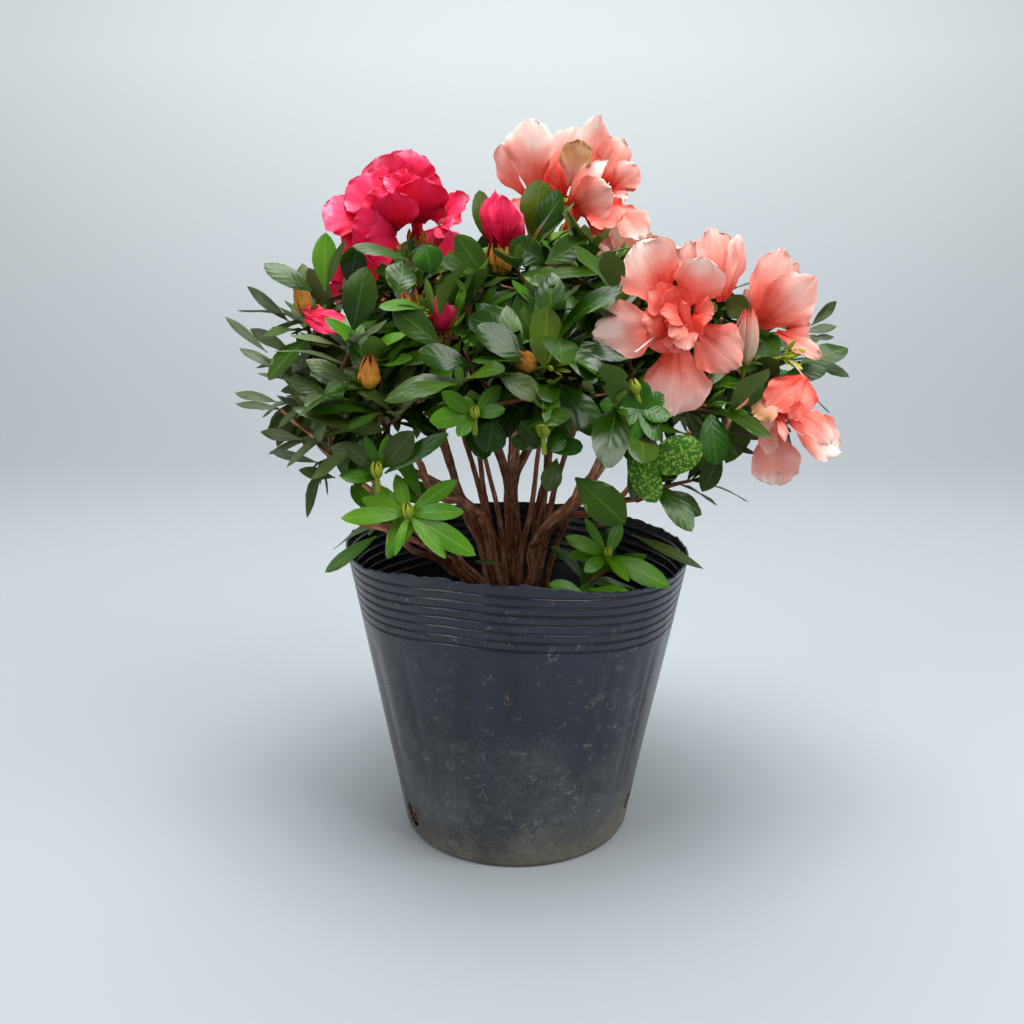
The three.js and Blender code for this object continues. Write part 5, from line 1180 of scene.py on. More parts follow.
# Leaf j of a shoot stands at a golden angle from the one before, the older the flatter, round an axis between
# the twig's own way and straight out of the crown. Its upper side is rolled towards the sky.
def growLeaves(one, chance, leaves, middles):
    shoot, path, draw = one["shoot"], one["path"], one["draw"]
    axis = (pathWay(path, 1.0) + unit(shoot["tip"] - crown["centre"])) / 2
    axis = unit(axis + upward * leaf["upward"] * (0.35 if shoot["tip"][0] < -60 else 1))
    side = unit(np.cross(axis, [1.0, 0, 0] if abs(axis[2]) > 0.9 else upward))
    other = np.cross(axis, side)
    face = unit(axis * 0.5 + upward * leaf["skyward"])
    kind = shoot["kind"] or kindAt(shoot["tip"], chance)
    length, width = leafKinds[kind]["size"]
    phase = draw() * 2 * math.pi
    long = pathLength(path)
    for j in range(shoot["leaves"] + leaf["extra"]):
        wobble = [draw(), draw(), draw()]
        turn = phase + j * goldenAngle
        lean = leaf["lean"] + leaf["leanRange"] * j / shoot["leaves"] + leaf["leanWobble"] * wobble[0]
        lean = math.radians(min(lean, leaf["steepest"]))
        outward = side * math.cos(turn) + other * math.sin(turn)
        root = pathPoints(path, max(0.1, 1 - (0.4 + j * leaf["spacing"]) / long))
        way = axis * math.cos(lean) + outward * math.sin(lean)
        size = shoot["size"] * (1 + leaf["lengthRange"] * (wobble[1] - 0.6))
        middle, tip = root + way * length * size * 0.56, root + way * length * size
        if not clearOfBlooms(np.array([middle, tip])):
            continue
        if middles and np.linalg.norm(np.array(middles) - middle, axis=1).min() < leaf["crowding"]:
            continue
        overRim = tip[2] < leaf["rimTop"] and np.hypot(tip[0], tip[1]) > leaf["rimReach"]
        beforeStems = tip[2] < leaf["stemTop"] and leaf["stemSides"][0] < tip[0] < leaf["stemSides"][1]
        if (overRim or beforeStems) and one["mass"]["name"] != "pot_sprout":
            continue
        middles.append(middle)
        broad = width * shoot["size"] * (1 + leaf["widthRange"] * (wobble[2] - 0.5))
        leaves[kind].append((root, way, face, length * size, broad, chance.random(3)))
    small = "fresh" if kind in ("gloss", "deep", "round") else kind
    for k in range(3):  # small new leaves stand up in the middle of the rosette
        turn = phase + 1 + k * 2.3
        way = unit(axis + 0.35 * (side * math.cos(turn) + other * math.sin(turn)))
        if clearOfBlooms(np.array([shoot["tip"] + way * 9])):
            long, turned = (10 + 3 * k) * shoot["size"], face - axis * 0.4 + 0.3 * side
            leaves[small].append((shoot["tip"] - axis, way, turned, long, 4.2, chance.random(3)))


# A leaf's outline is share^a (1-share)^b on each side of its middle vein. Its middle line bends down evenly,
# its halves are folded up from the vein, its edge waves a little and it twists towards its tip.
def leafGrid(leaves, plan):
    roots, ways, faces = (np.array([one[k] for one in leaves]) for k in (0, 1, 2))
    length, width = (np.array([one[k] for one in leaves])[:, None] for k in (3, 4))
    chance = np.array([one[5] for one in leaves])
    v, u = np.array(leaf["stations"]), np.array(leaf["across"])
    b = plan["tip"]
    a = b * leaf["widest"] / (1 - leaf["widest"])
    outline = v ** a * (1 - v) ** b / (leaf["widest"] ** a * (1 - leaf["widest"]) ** b)
    half = width / 2 * outline
    half[:, 0], half[:, -1] = 0.5, 0.12
    across = unit(np.cross(ways, faces))
    upper = np.cross(across, ways)
    angle = 0.14 - plan["droop"] * (0.4 + 1.1 * chance[:, :1]) * v[None] ** 1.3 * 1.4
    step = np.diff(v, prepend=0)[None] * length
    x, z = np.cumsum(np.cos(angle) * step, 1), np.cumsum(np.sin(angle) * step, 1)
    tilt = plan["fold"] * (0.5 + chance[:, 1:2]) * np.sin(math.pi * np.minimum(v * 1.15, 1))[None]
    twist = (chance[:, 2:] - 0.5) * 1.2 * v[None]
    sideWay = across[:, None] * np.cos(twist)[..., None] + upper[:, None] * np.sin(twist)[..., None]
    topWay = upper[:, None] * np.cos(twist)[..., None] - across[:, None] * np.sin(twist)[..., None]
    y = u[None, None] * (half * np.cos(tilt))[..., None]
    rise = np.abs(u)[None, None] * (half * np.sin(tilt))[..., None]
    rise = rise - 0.12 * u[None, None] ** 4 * half[..., None]
    edge = 0.08 * half[..., None] * np.sin(9 * v[None, :, None] + 6 * chance[:, :1, None])
    rise = rise + edge * u[None, None]
    line = roots[:, None] + x[..., None] * ways[:, None] + z[..., None] * upper[:, None]
    return line[:, :, None] + y[..., None] * sideWay[:, :, None] + rise[..., None] * topWay[:, :, None]


# An azalea leaf: waxy on its upper side, with a paler middle vein and seven pairs of sunken side veins that
# break up its gloss, and paler and dull below. Light comes through it a little.
def leafSkin(name, plan, isUpper):
    rough, gloss = (plan["rough"], 0.38) if isUpper else (0.6, 0.15)
    material, tree, shader = startMaterial(name, rough, Specular_IOR_Level=gloss)
    place = add(tree, "TexCoord", out="Object")
    across = add(tree, "TexCoord", out="UV")
    alongX = add(tree, "SeparateXYZ", {0: across}, out="X")
    alongY = add(tree, "SeparateXYZ", {0: across}, out="Y")
    fromVein = add(tree, "Math", {0: alongX, 1: 0.5}, operation="SUBTRACT")
    away = add(tree, "Math", {0: fromVein}, operation="ABSOLUTE")
    slant = add(tree, "Math", {0: away, 1: -0.5, 2: alongY}, operation="MULTIPLY_ADD")
    waves = add(tree, "Math", {0: slant, 1: 44.0}, operation="MULTIPLY")
    sideVeins = add(tree, "Math", {0: waves}, operation="SINE")
    vein = add(tree, "ValToRGB", {0: away}, [(0.0, 0.5), (0.04, 0.0)])
    scale, firstStop = (800.0, 0.5) if name == "mottled" else (28.0, 0.38)
    cloud = add(tree, "TexNoise", {"Vector": place, "Scale": scale, "Detail": 2.0}, out="Fac")
    low, high = plan["upper"] if isUpper else (plan["under"], plan["under"])
    blade = add(tree, "ValToRGB", {0: cloud}, [(firstStop, srgb(low)), (0.64, srgb(high))])
    colour = add(tree, "Mix", {0: vein, 6: blade, 7: srgb(plan["vein"])}, data_type="RGBA", out=2)
    ribs = add(tree, "Math", {0: vein, 1: -2.5, 2: sideVeins}, operation="MULTIPLY_ADD")
    uneven = add(tree, "Math", {0: cloud, 1: 5.0, 2: ribs}, operation="MULTIPLY_ADD")
    bump = add(tree, "Bump", {"Height": uneven, "Strength": 0.08, "Distance": 0.0004})
    finishSkin(tree, shader, colour, bump, 0.25)
    return material


leaves = {kind: [] for kind in leafKinds}
middles = []
leafChance = np.random.default_rng(seeds["leaves"])
for kind, root, tip, width, facing in placedLeaves:
    reach = tip - root
    evened = leafChance.random(3) * (0.1, 0.8, 1)  # placed leaves bend less than the others
    leaves[kind].append(
        (root, unit(reach), unit(np.array(facing, float)), np.linalg.norm(reach), width, evened)
    )
    middles.append(root + reach / 2)
for one in twigs:
    if one["shoot"] is not None:
        growLeaves(one, leafChance, leaves, middles)
massNodes = [mass["name"] for mass in masses]
for kind, plan in leafKinds.items():
    blades = closeBlades(leafGrid(leaves[kind], plan), leaf["thickness"])
    skins = [leafSkin(kind, plan, True), leafSkin(kind + "Under", plan, False)]
    slot = "young_leaves" if kind in ("young", "fresh") else "leaves"
    replaced = massNodes if kind == "gloss" else ()
    addPiece("leaves_" + kind, blades["points"], [blades["faces"]], skins, slot, replaced,
             uv=blades["uv"], kinds=blades["kinds"], rim=blades["rim"])
    print(f"{len(leaves[kind])} {kind} leaves")

twigBark = azaleaBark("youngTwigBark", "#3d1f10", "#6d3f22", "#94703f", 0.5)


# A twig whose tip would stand before a bloom stops short of it.
def twigLine(one):
    shoot = one["shoot"]
    isWhole = shoot is None or "bud" in shoot or clearOfBlooms(shoot["tip"][None])
    return pathPoints(one["path"], np.linspace(0, 1 if isWhole else twig["stopShort"], twig["rings"]))


twigPaths = np.array([twigLine(one) for one in twigs])
twigRadii = np.array([np.linspace(*one["radii"], twig["rings"]) for one in twigs])
twigPoints, twigFaces, twigPlace = roundRods(twigPaths, twigRadii, twig["sides"])
addPiece("twigs", twigPoints, twigFaces, [twigBark], "bark", massNodes, marks={"barkPlace": twigPlace})
print("twigs and leaves done")

# Blooms

petal = {
    "rows": 20, "columns": 17, "thickness": 0.3, "tube": 22, "tubeRadius": 2.2, "throat": 0.26, "stalk": 17.6
}
scale = {"rows": 12, "columns": 9, "thickness": 0.3}
stalk = {"rings": 14, "sides": 10, "radii": (1.3, 1.0), "length": 8, "budLength": 6}
# styles of the blooms at the back, which aren't placed: turn, and reach as a share of the petal
style = {
    "rings": 12, "sides": 8, "radius": 0.35, "tip": 0.75, "loose": [(0.4, 0.78), (2.3, 0.45), (4.2, 0.5)]
}
# stops of colour from the throat to the petals' edge
hues = {
    "salmon": [
        (0.0, "#dd3325"), (0.16, "#f05643"), (0.38, "#f88775"), (0.62, "#fbae9f"), (0.85, "#fdcdc1"),
        (1.0, "#fee4da")
    ],
    "pink": [
        (0.0, "#a0032c"), (0.16, "#d0063a"), (0.45, "#ee164f"), (0.78, "#f8336a"), (0.95, "#fb5c88"),
        (1.0, "#fc86a8")
    ],
    "cream": [
        (0.0, "#a9a860"), (0.2, "#ddd0a4"), (0.45, "#edc7b0"), (0.7, "#ef9f90"), (0.9, "#ec7264"),
        (1.0, "#e8604f")
    ],
    "dried": [
        (0.0, "#e8857a"), (0.3, "#efaa98"), (0.55, "#e0a67c"), (0.75, "#cd9560"), (0.9, "#e6b98c"),
        (1.0, "#d2a26c")
    ],
}


# Azalea petals: thin, matt and a little see-through, deepest in the throat and palest at the ruffled edge,
# with streaks that run up them, and here and there an edge that has dried brown.
def petalSkin(name, stops, bruise):
    material, tree, shader = startMaterial(name, 0.5, Specular_IOR_Level=0.35)
    reach = add(tree, "Attribute", attribute_name="reach", out="Fac")
    uv = add(tree, "TexCoord", out="UV")
    place = add(tree, "TexCoord", out="Object")
    lines = add(tree, "Mapping", {0: uv, "Scale": (22, 1.6, 1)})
    veins = add(tree, "TexNoise", {"Vector": lines, "Scale": 1.0, "Detail": 3.0}, out="Fac")
    cloud = add(tree, "TexNoise", {"Vector": place, "Scale": 60.0, "Detail": 3.0}, out="Fac")
    sway = add(tree, "MapRange", {"Value": cloud, 1: 0.3, 2: 0.7, 3: -0.25, 4: 0.25})
    shifted = add(tree, "Math", {0: reach, 1: sway}, operation="ADD")
    veined = add(tree, "Math", {0: veins, 1: 0.34, 2: shifted}, operation="MULTIPLY_ADD")
    level = add(tree, "Math", {0: veined, 1: 0.17}, operation="SUBTRACT")
    tint = add(tree, "ValToRGB", {0: level}, [(at, srgb(code)) for at, code in stops])
    spots = add(tree, "TexNoise", {"Vector": place, "Scale": 150.0, "Detail": 4.0}, out="Fac")
    edge = add(tree, "MapRange", {"Value": reach, 1: 0.8, 2: 1.0, 3: 0.0, 4: 0.12})
    spotted = add(tree, "Math", {0: spots, 1: edge}, operation="ADD")
    hurt = add(tree, "ValToRGB", {0: spotted}, [(0.73, 0.0), (0.77, bruise)])
    colour = add(tree, "Mix", {0: hurt, 6: tint, 7: srgb("#b08a5e")}, data_type="RGBA", out=2)
    bump = add(tree, "Bump", {"Height": veins, "Strength": 0.22, "Distance": 0.0006})
    finishSkin(tree, shader, colour, bump, 0.35)
    return material


def facingFrame(bloom):
    facing = unit(np.array(bloom["facing"], float))
    side = unit(np.cross(upward if abs(facing[2]) < 0.98 else np.array([0, -1.0, 0]), facing))
    return np.array(bloom["at"], float), facing, side, np.cross(facing, side)


# The skin of a petal about its middle line: it widens from a narrow root to a round end with a notch, and a
# wave runs round its edge: s is the way round the edge, and the wave fades inwards. Its sides rise into a
# shallow cup.
def ruffled(line, way, inner, across, length, width, frill, point, chance):
    v = np.linspace(0, 1, petal["rows"])[None]
    u = np.linspace(-1, 1, petal["columns"])[None, None]
    narrowing = np.sqrt(1 - 0.93 * np.clip((v - 0.6) / 0.4, 0, 1) ** 2.6)
    half = width / 2 * (0.26 + 0.74 * smoothStep(v, 0, 0.62)) * narrowing
    half = half * (1 - point * smoothStep(v, 0.4, 1))
    v, phase = v[..., None], chance.random((len(length), 6, 1, 1)) * 6.28
    s = 2.4 * u + 5 * (1 - v) * np.tanh(3 * u)
    edge = smoothStep(np.maximum(np.abs(u) ** 1.5, 0.7 * v ** 4), 0.25, 1) * smoothStep(v, 0.1, 0.5)
    waves = np.sin(2.2 * s + phase[:, 0]) + 0.6 * np.sin(4.3 * s + phase[:, 1])
    waves = waves + 0.4 * np.sin(8.1 * s + phase[:, 2])
    cup = 0.22 * half[..., None] * u ** 2 * (1 - v) - 0.8 * np.exp(-((u / 0.12) ** 2)) * (1 - v)
    rise = cup + frill[..., None] * edge * waves + 0.05 * length[..., None] * v * np.sin(2 * u + phase[:, 3])
    back = -length[..., None] * v ** 3 * (0.07 * u ** 2 + 0.03 * np.exp(-((u / 0.4) ** 2)))
    back = back + 0.018 * length[..., None] * edge * np.sin(5.2 * s + phase[:, 4])
    spread = u * half[..., None] * (1 + 0.05 * edge * np.sin(3.1 * s + phase[:, 5]))
    sideways, forwards = spread[..., None] * across[:, None, None], rise[..., None] * inner[:, :, None]
    return line[:, :, None] + sideways + forwards + back[..., None] * way[:, :, None]


# A petal's middle line leaves the throat at one lean and ends at another.
def petalGrid(bloom, petals, chance):
    at, facing, side, top = facingFrame(bloom)
    turn, rootLean, tipLean, length, width, frill, ahead = petals.T[:7, :, None]
    v = np.linspace(0, 1, petal["rows"])[None]
    outward = np.cos(turn) * side + np.sin(turn) * top
    across = unit(np.cross(facing, outward))
    lean = rootLean + (tipLean - rootLean) * v ** 0.8
    step = length / (petal["rows"] - 1)
    run = np.cumsum(np.cos(lean) * step, 1) - np.cos(lean[:, :1]) * step
    out = np.cumsum(np.sin(lean) * step, 1) - np.sin(lean[:, :1]) * step
    throat = bloom["petal"] * petal["throat"] * 0.6 * np.minimum(1, rootLean / 0.6)
    line = at + (ahead - 3 + run)[..., None] * facing + (throat + out)[..., None] * outward[:, None]
    way = np.cos(lean)[..., None] * facing + np.sin(lean)[..., None] * outward[:, None]
    inner = unit(np.cross(way, across[:, None]))
    return ruffled(line, way, inner, across, length, width, frill, 0, chance)


# A placed petal's middle line goes from its root to its tip in a bow that bulges towards the side that it
# faces.
def placedGrid(petals, frill, chance):
    root, tip, facing = (np.array([one[k] for one in petals], float) for k in (0, 1, 3))
    width, arch, point = (np.array([one[k] for one in petals], float)[:, None] for k in (2, 5, 6))
    v = np.linspace(0, 1, petal["rows"])[None, :, None]
    reach = tip - root
    length = np.linalg.norm(reach, axis=1, keepdims=True)
    along = reach / length
    across = unit(np.cross(facing, along))
    upper = np.cross(along, across)
    bow = (4 * arch * length)[:, None] * v * (1 - v)
    line = root[:, None] + reach[:, None] * v + bow * upper[:, None]
    way = unit(along[:, None] + (4 * arch)[:, None] * (1 - 2 * v) * upper[:, None])
    inner = unit(np.cross(way, across[:, None]))
    return ruffled(line, way, inner, -across, length, width, frill * np.minimum(1, width / 18), point, chance)


# Rings: five wide outer petals, a second ring on the double pink blooms, and the crowded petal-like stamens.
# Each petal is its turn, its lean at root and tip, length, width, frill, how far it stands ahead, and its
# tone.
def petalsOf(bloom, isPink, draw):
    wide, long = math.radians(bloom["open"]), bloom["petal"]
    petals = []
    for k in range(5):
        turn = math.radians(90 + 72 * k + 8 * (draw() - 0.5))
        tipLean = wide + 0.3 + 0.35 * (draw() - 0.5)
        length, width = long * (0.97 + 0.08 * draw()), long * (0.92 + 0.12 * draw())
        petals.append((turn, wide - 0.45, tipLean, length, width, 1.3 if isPink else 1.0, 0, 0))
    for k in range(5 if isPink else 2):
        turn = math.radians(126 + 72 * k + 30 * (draw() - 0.5))
        tipLean = wide + 0.4 * (draw() - 0.6)
        length, width = long * (0.74 + 0.16 * draw()), long * (0.75 + 0.2 * draw())
        petals.append((turn, wide - 0.6, tipLean, length, width, 1.7, 1.5, 0))
    for k in range(6 if isPink else 9):
        turn = k * goldenAngle + draw()
        rootLean, tipLean = 0.1 + 0.3 * draw(), wide * 0.5 + 0.9 * (draw() - 0.3)
        length, width = long * (0.3 + 0.2 * draw()), long * (0.24 + 0.18 * draw())
        petals.append((turn, rootLean, tipLean, length, width, 1.6, 2.5, -0.45))
    return np.array(petals)


# A closed skin turned round a bloom's axis: rows of distance along it and radius, with ripples round it.
def turnedSkin(bloom, profile, sides, lobes, ripple):
    at, facing, side, top = facingFrame(bloom)
    along, radius = np.array(profile, float).T[..., None]
    turns = np.arange(sides)[None] / sides * 2 * math.pi
    spread = radius * (1 + ripple * np.cos(lobes * turns))
    ring = np.cos(turns)[..., None] * side + np.sin(turns)[..., None] * top
    points = at + along[..., None] * facing + spread[..., None] * ring
    ends = np.stack([np.arange(sides)[::-1], (len(profile) - 1) * sides + np.arange(sides)])
    return points.reshape(-1, 3), [gridFaces(len(profile), sides, True), ends]


# A ring of petals or scales wrapped round a bud's axis: u turns them round it, v lifts them along it, and
# their radius swells and closes again, or flares at the tip.
def scaleRing(bud, count, wrap, length, radius, twist=0, foot=0, flare=0, first=0):
    at, facing, side, top = facingFrame(bud)
    turn = (np.arange(count) * 2 * math.pi / count + first)[:, None, None]
    v = np.linspace(0, 1, scale["rows"])[None, :, None]
    u = np.linspace(-1, 1, scale["columns"])[None, None]
    angle = turn + wrap * u * (1 - 0.8 * v ** 2.5) + twist * v
    uneven = 1 + 0.12 * u + 0.05 * np.sin(7 * u + 5 * turn + 4 * v)
    spread = radius * np.sin(math.pi * (0.14 + 0.78 * v)) ** 0.75 * uneven + flare * v ** 2 + 0.25
    along = foot + v * length * (1 - 0.1 * u ** 2)
    ring = np.cos(angle)[..., None] * side + np.sin(angle)[..., None] * top
    return at + along[..., None] * facing + spread[..., None] * ring


def styleLine(foot, middle, tip):
    return pathPoints(np.array([foot, middle, tip]), np.linspace(0, 1, style["rings"]))


def shortStalk(at, facing, length):
    return np.linspace(np.array(at) - facing * length, at, stalk["rings"])


def addBlades(name, grid, thickness, skin, slot, replaced=(), crest=None):
    blades = closeBlades(grid, thickness)
    u, v = blades["uv"].T
    reach = v + (0 if crest is None else np.repeat(crest, len(u) // len(crest)) * v)
    marks = {"reach": np.clip(reach, 0, 1)}
    addPiece(
        name, blades["points"], [blades["faces"]], [skin], slot, replaced, uv=blades["uv"], marks=marks,
        rim=blades["rim"]
    )


# A piece whose reach is the same all over, so that it has one tint of its skin.
def addEven(name, points, faceSets, skin, slot, reach):
    addPiece(name, points, faceSets, [skin], slot, marks={"reach": np.full(len(points), reach)})


# Bud scales are papery and tan-brown, and green parts are dull and soft.
def scaleSkin(name, foot, middle, tip):
    material, tree, shader = startMaterial(name, 0.6, Specular_IOR_Level=0.3)
    place = add(tree, "TexCoord", out="Object")
    reach = add(tree, "Attribute", attribute_name="reach", out="Fac")
    cloud = add(tree, "TexNoise", {"Vector": place, "Scale": 300.0, "Detail": 3.0}, out="Fac")
    shifted = add(tree, "Math", {0: cloud, 1: 0.6, 2: reach}, operation="MULTIPLY_ADD")
    stops = [(0.24, srgb(foot)), (0.6, srgb(middle)), (0.96, srgb(tip))]
    scaled = add(tree, "Math", {0: shifted, 1: 0.8}, operation="MULTIPLY")
    colour = add(tree, "ValToRGB", {0: scaled}, stops)
    bump = add(tree, "Bump", {"Height": cloud, "Strength": 0.3, "Distance": 0.0006})
    finishSkin(tree, shader, colour, bump)
    return material


petalSkins = {
    hue: petalSkin(hue + "Petal", stops, 0.7 if hue == "salmon" else 0.0) for hue, stops in hues.items()
}
papery = scaleSkin("paperyBudScale", "#9a7a22", "#c4852a", "#8a4a1a")
green = scaleSkin("greenCalyx", "#6f7d14", "#8a9a1e", "#a9ab3c")
stalks, calyxes, styles, bracts, dried = [], [], [], [], []
for seed, bloom in enumerate(blooms):
    chance = np.random.default_rng(seeds["blooms"] + seed)
    name, hue = bloom["name"], bloom["name"].split("_")[0]
    isPink = hue == "pink"
    if name in placedPetals:
        fresh = [one for one in placedPetals[name] if one[4] is not None]
        dried += [one for one in placedPetals[name] if one[4] is None]
        grid, crest = placedGrid(fresh, 1.1 if isPink else 0.8, chance), np.array([one[4] for one in fresh])
    else:
        petals = petalsOf(bloom, isPink, chance.random)
        grid, crest = petalGrid(bloom, petals, chance), petals[:, 7]
    addBlades(name + "_petals", grid, petal["thickness"], petalSkins[hue], hue + "_petals", [name], crest)
    tubeFoot = np.array(bloom["at"]) - unit(np.array(bloom["facing"])) * petal["tube"]
    tubeEnd, tubeMouth = (np.array(place, float) for place in bloom.get("tube", (tubeFoot, bloom["at"])))
    tube = {"at": tubeMouth, "facing": tubeMouth - tubeEnd}
    at, facing, side, top = facingFrame(tube)
    long = np.linalg.norm(tube["facing"])
    throat = bloom["petal"] * petal["throat"] * (0.5 if name in placedPetals else 0.72)
    share = np.linspace(0, 1, 14)
    width = petal["tubeRadius"] + (throat - petal["tubeRadius"]) * share ** 1.6
    outer = np.stack([-long + share * (long + 1), width], -1)
    inner = np.stack([outer[::-1, 0] + 0.1, np.maximum(outer[::-1, 1] - 0.5, 0.3)], -1)
    tubePoints, tubeFaces = turnedSkin(
        tube, [(-long, 0.5), *outer, *inner[:-1], (-long + 1.5, 0.3)], 30, 5, 0.06
    )
    addEven(name + "_tube", tubePoints, tubeFaces, petalSkins[hue], hue + "_petals", 0.2)
    limb, share = bloom["limb"]
    calyxAt = np.array(bloom.get("calyx", tubeEnd), float)
    calyxWay = unit(np.array(bloom.get("calyxFacing", facing), float))
    end = calyxAt + calyxWay * (petal["tube"] - petal["stalk"])
    path = bentPath(pathPoints(limbPaths[limb], share), end, bloom.get("bend", 0.25))
    path[1] = (path[1] + end - calyxWay * 12) / 2
    stalks.append(pathPoints(path, np.linspace(0, 1, stalk["rings"])))
    isOff = "calyx" in bloom  # this bloom has slipped out of its calyx and hangs by its style
    holder = {"at": calyxAt - calyxWay, "facing": calyxWay}
    calyxes.append(
        scaleRing(holder, 5, wrap=0.5, length=7, radius=2.6, flare=6.5 if isOff else 1.6, first=0.3)
    )
    if isPink:
        holder = {"at": calyxAt - calyxWay * 3, "facing": calyxWay}
        bracts.append(scaleRing(holder, 7, wrap=0.55, length=11, radius=4, flare=2.5))
    if isOff:
        styles.append(styleLine(calyxAt, (calyxAt + tubeEnd) / 2 + (0.5, -1, 0.5), tubeEnd))
    for turn, far in [] if isPink or name in placedPetals else style["loose"]:
        outward = math.cos(turn) * side + math.sin(turn) * top
        ahead = bloom["petal"] * far
        tip = at + facing * ahead + outward * ahead * 0.42
        styles.append(styleLine(at - facing * 8, at + facing * ahead * 0.7, tip))
    for ends in bloom.get("threads", []):  # a style whose two ends are known
        styles.append(np.linspace(*np.array(ends, float), style["rings"]))
driedGrid = placedGrid(dried, 1.2, np.random.default_rng(seeds["driedPetals"]))
addBlades("dried_petals", driedGrid, petal["thickness"], petalSkins["dried"], "salmon_petals")
print("blooms done")

for number, (mass, at, facing, length, width, kind) in enumerate(buds):
    facing = unit(np.array(facing, float))
    bud = {"at": at, "facing": facing}
    radius = width / 2
    if kind in ("pink", "pale"):
        foot = length * (0.2 if kind == "pink" else 0)
        long = (length - foot) * 1.05
        outer = scaleRing(bud, 5, wrap=1.0, twist=0.8, foot=foot, length=long, radius=radius * 0.85)
        inner = scaleRing(
            bud, 4, wrap=1.1, twist=0.9, foot=foot, length=long * 1.01, radius=radius * 0.6, first=0.5
        )
        skin = petalSkins["pink" if kind == "pink" else "cream"]
        slot = "pink_petals" if kind == "pink" else "salmon_petals"
        addBlades(f"bud_{number}", np.concatenate([outer, inner]), petal["thickness"], skin, slot)
        rows = placedPetals.get(f"bud_{number}")
        if rows:
            crest = np.array([one[4] for one in rows])
            outside = placedGrid(rows, 0.8, np.random.default_rng(number))
            addBlades(f"bud_{number}_petals", outside, petal["thickness"], skin, slot, (), crest)
        if kind == "pink":
            foot, long = -length * 0.25, length * 0.62
            bracts.append(
                scaleRing(bud, 8, wrap=0.42, foot=foot, length=long, radius=radius * 0.72, flare=1.2)
            )
        else:
            calyxes.append(scaleRing(bud, 5, wrap=0.5, length=6, radius=2.6, flare=1.5, foot=-2))
    elif kind == "spent":
        bracts.append(
            scaleRing(bud, 7, wrap=0.5, length=length * 0.8, radius=radius * 0.5, flare=radius * 0.8)
        )
    else:
        for tier in range(3):  # closed scales that overlap, the inner ones longer
            long, wide = length * (0.66 + 0.17 * tier), radius * (1 - 0.08 * tier)
            bracts.append(scaleRing(bud, 5, wrap=1.05, twist=0.5, length=long, radius=wide, first=0.6 * tier))
    stalks.append(shortStalk(at, facing, stalk["budLength"]))
for at, facing in spentCalyxes:
    calyxes.append(scaleRing({"at": at, "facing": facing}, 7, wrap=0.45, length=9, radius=2.2, flare=5))
    stalks.append(shortStalk(at, unit(np.array(facing, float)), stalk["length"]))
for at, facing, length in greenBuds:
    calyxes.append(scaleRing({"at": at, "facing": facing}, 5, wrap=0.9, length=length, radius=length * 0.3))
    stalks.append(shortStalk(at, unit(np.array(facing, float)), stalk["length"]))
addBlades("bud_scales", np.concatenate(bracts), scale["thickness"], papery, "bark")
addBlades("calyxes", np.concatenate(calyxes), scale["thickness"], green, "young_leaves")
stalkRadii = np.tile(np.linspace(*stalk["radii"], stalk["rings"]), (len(stalks), 1))
stalkPoints, stalkFaces, _ = roundRods(np.array(stalks), stalkRadii, stalk["sides"])
addEven("flower_stalks", stalkPoints, stalkFaces, green, "young_leaves", 0.3)
styleRadii = np.tile(np.append(np.full(style["rings"] - 1, style["radius"]), style["tip"]), (len(styles), 1))
stylePoints, styleFaces, _ = roundRods(np.array(styles), styleRadii, style["sides"])
addEven("styles", stylePoints, styleFaces, petalSkins["salmon"], "salmon_petals", 0.95)
print("buds done")

# Stage, light and camera


# Pale matt card with painted shade: its colour is darker where it lies than where it stands.
def paleCardPaintedShade(foot, top):
    material, tree, shader = startMaterial("paleCardPaintedShade", 0.8)
    height = add(tree, "SeparateXYZ", {0: add(tree, "TexCoord", out="Object")}, out="Z")
    colour = add(tree, "ValToRGB", {0: height}, [(0.0, srgb(foot)), (0.8, srgb(top))])
    tree.links.new(colour, shader.inputs["Base Color"])
    return material


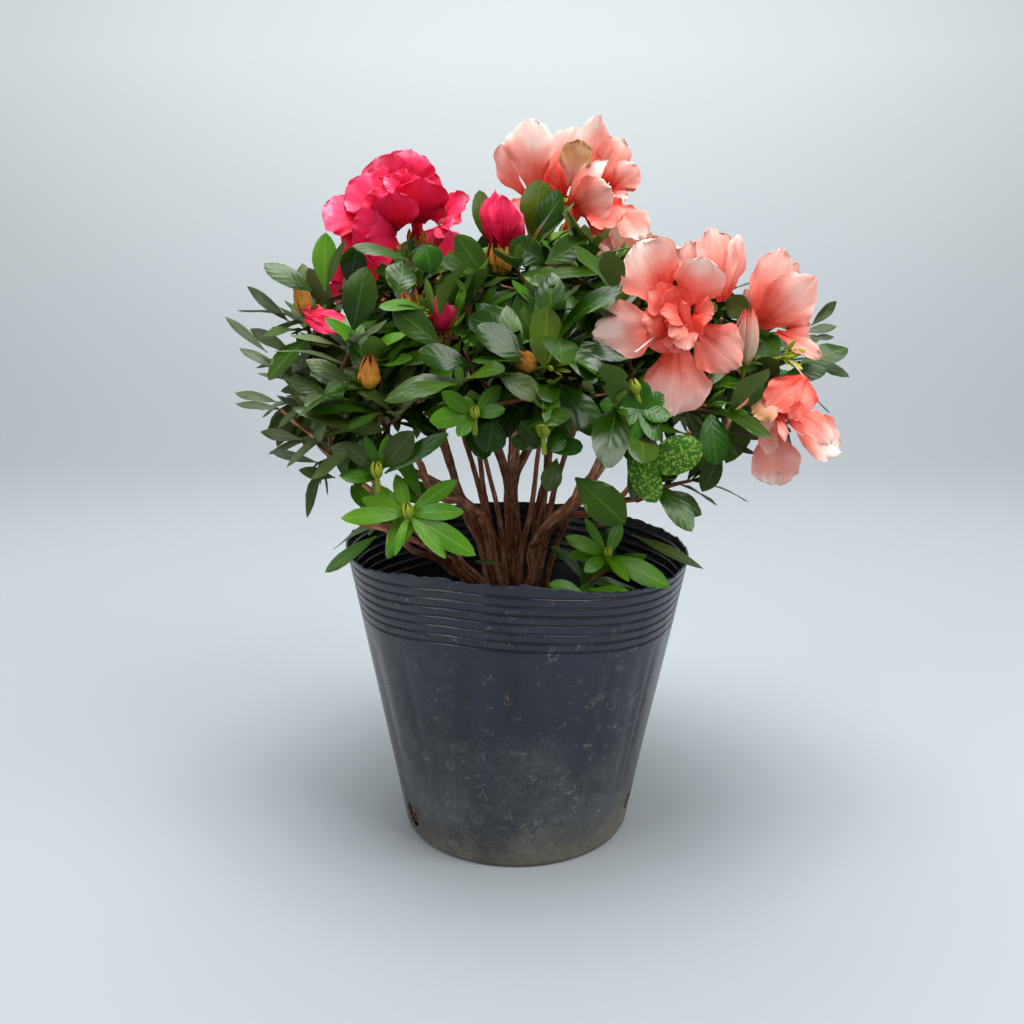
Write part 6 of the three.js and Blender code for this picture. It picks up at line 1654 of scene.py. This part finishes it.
# A pale sheet: flat under the pot, then up in a wide arc behind it.
def addBackdrop():
    bend = np.linspace(0, math.pi / 2, 24)
    y = np.concatenate([[-3.0, -1.0, 0.5], 1.0 + 1.2 * np.sin(bend), [2.2]])
    z = np.concatenate([[0.0, 0.0, 0.0], 1.2 * (1 - np.cos(bend)), [3.5]])
    x = np.linspace(-4, 4, 5)
    points = np.stack(np.broadcast_arrays(x[None], y[:, None], z[:, None]), -1)
    mesh = bpy.data.meshes.new("backdrop")
    mesh.from_pydata(points.reshape(-1, 3).tolist(), [], gridFaces(len(y), 5, False).tolist())
    mesh.polygons.foreach_set("use_smooth", np.ones(len(mesh.polygons), bool))
    # painted shade: the floor's colour is darker than the wall's
    mesh.materials.append(paleCardPaintedShade("#989ea2", "#c2c8ca"))
    backdrop = bpy.data.objects.new("backdrop", mesh)
    bpy.context.scene.collection.objects.link(backdrop)


addBackdrop()
world = bpy.data.worlds.new("paleRoom")
world.use_nodes = True
world.node_tree.nodes["Background"].inputs["Color"].default_value = srgb("#e6ebf0")
world.node_tree.nodes["Background"].inputs["Strength"].default_value = 0.38
bpy.context.scene.world = world

lights = [
    {"name": "windowLight", "at": (0.95, -0.75, 1.35), "size": 0.9, "power": 20},
    {"name": "skyLight", "at": (-0.05, 0.1, 1.5), "size": 1.0, "power": 16},
    {"name": "leftFill", "at": (-1.1, -0.9, 0.9), "size": 0.9, "power": 8.5},
    {"name": "wallLight", "at": (0, -0.2, 2.4), "size": 1.6, "power": 75, "aim": (0, 2.4, 1.3)},
]
for plan in lights:
    lamp = bpy.data.lights.new(plan["name"], "AREA")
    lamp.size, lamp.energy = plan["size"], plan["power"]
    holder = bpy.data.objects.new(plan["name"], lamp)
    holder.location = plan["at"]
    way = Vector(plan.get("aim", (0, 0, 0.2))) - holder.location
    holder.rotation_euler = way.to_track_quat("-Z", "Y").to_euler()
    bpy.context.scene.collection.objects.link(holder)

lens = bpy.data.cameras.new("photoCamera")
lens.sensor_width, lens.lens = photoCamera["sensor"], photoCamera["lens"]
camera = bpy.data.objects.new("photoCamera", lens)
camera.location = np.array(photoCamera["at"]) * mm
camera.rotation_euler = (math.radians(90 - photoCamera["down"]), 0, 0)
bpy.context.scene.collection.objects.link(camera)
bpy.context.scene.camera = camera
bpy.context.scene.view_settings.view_transform = "Standard"
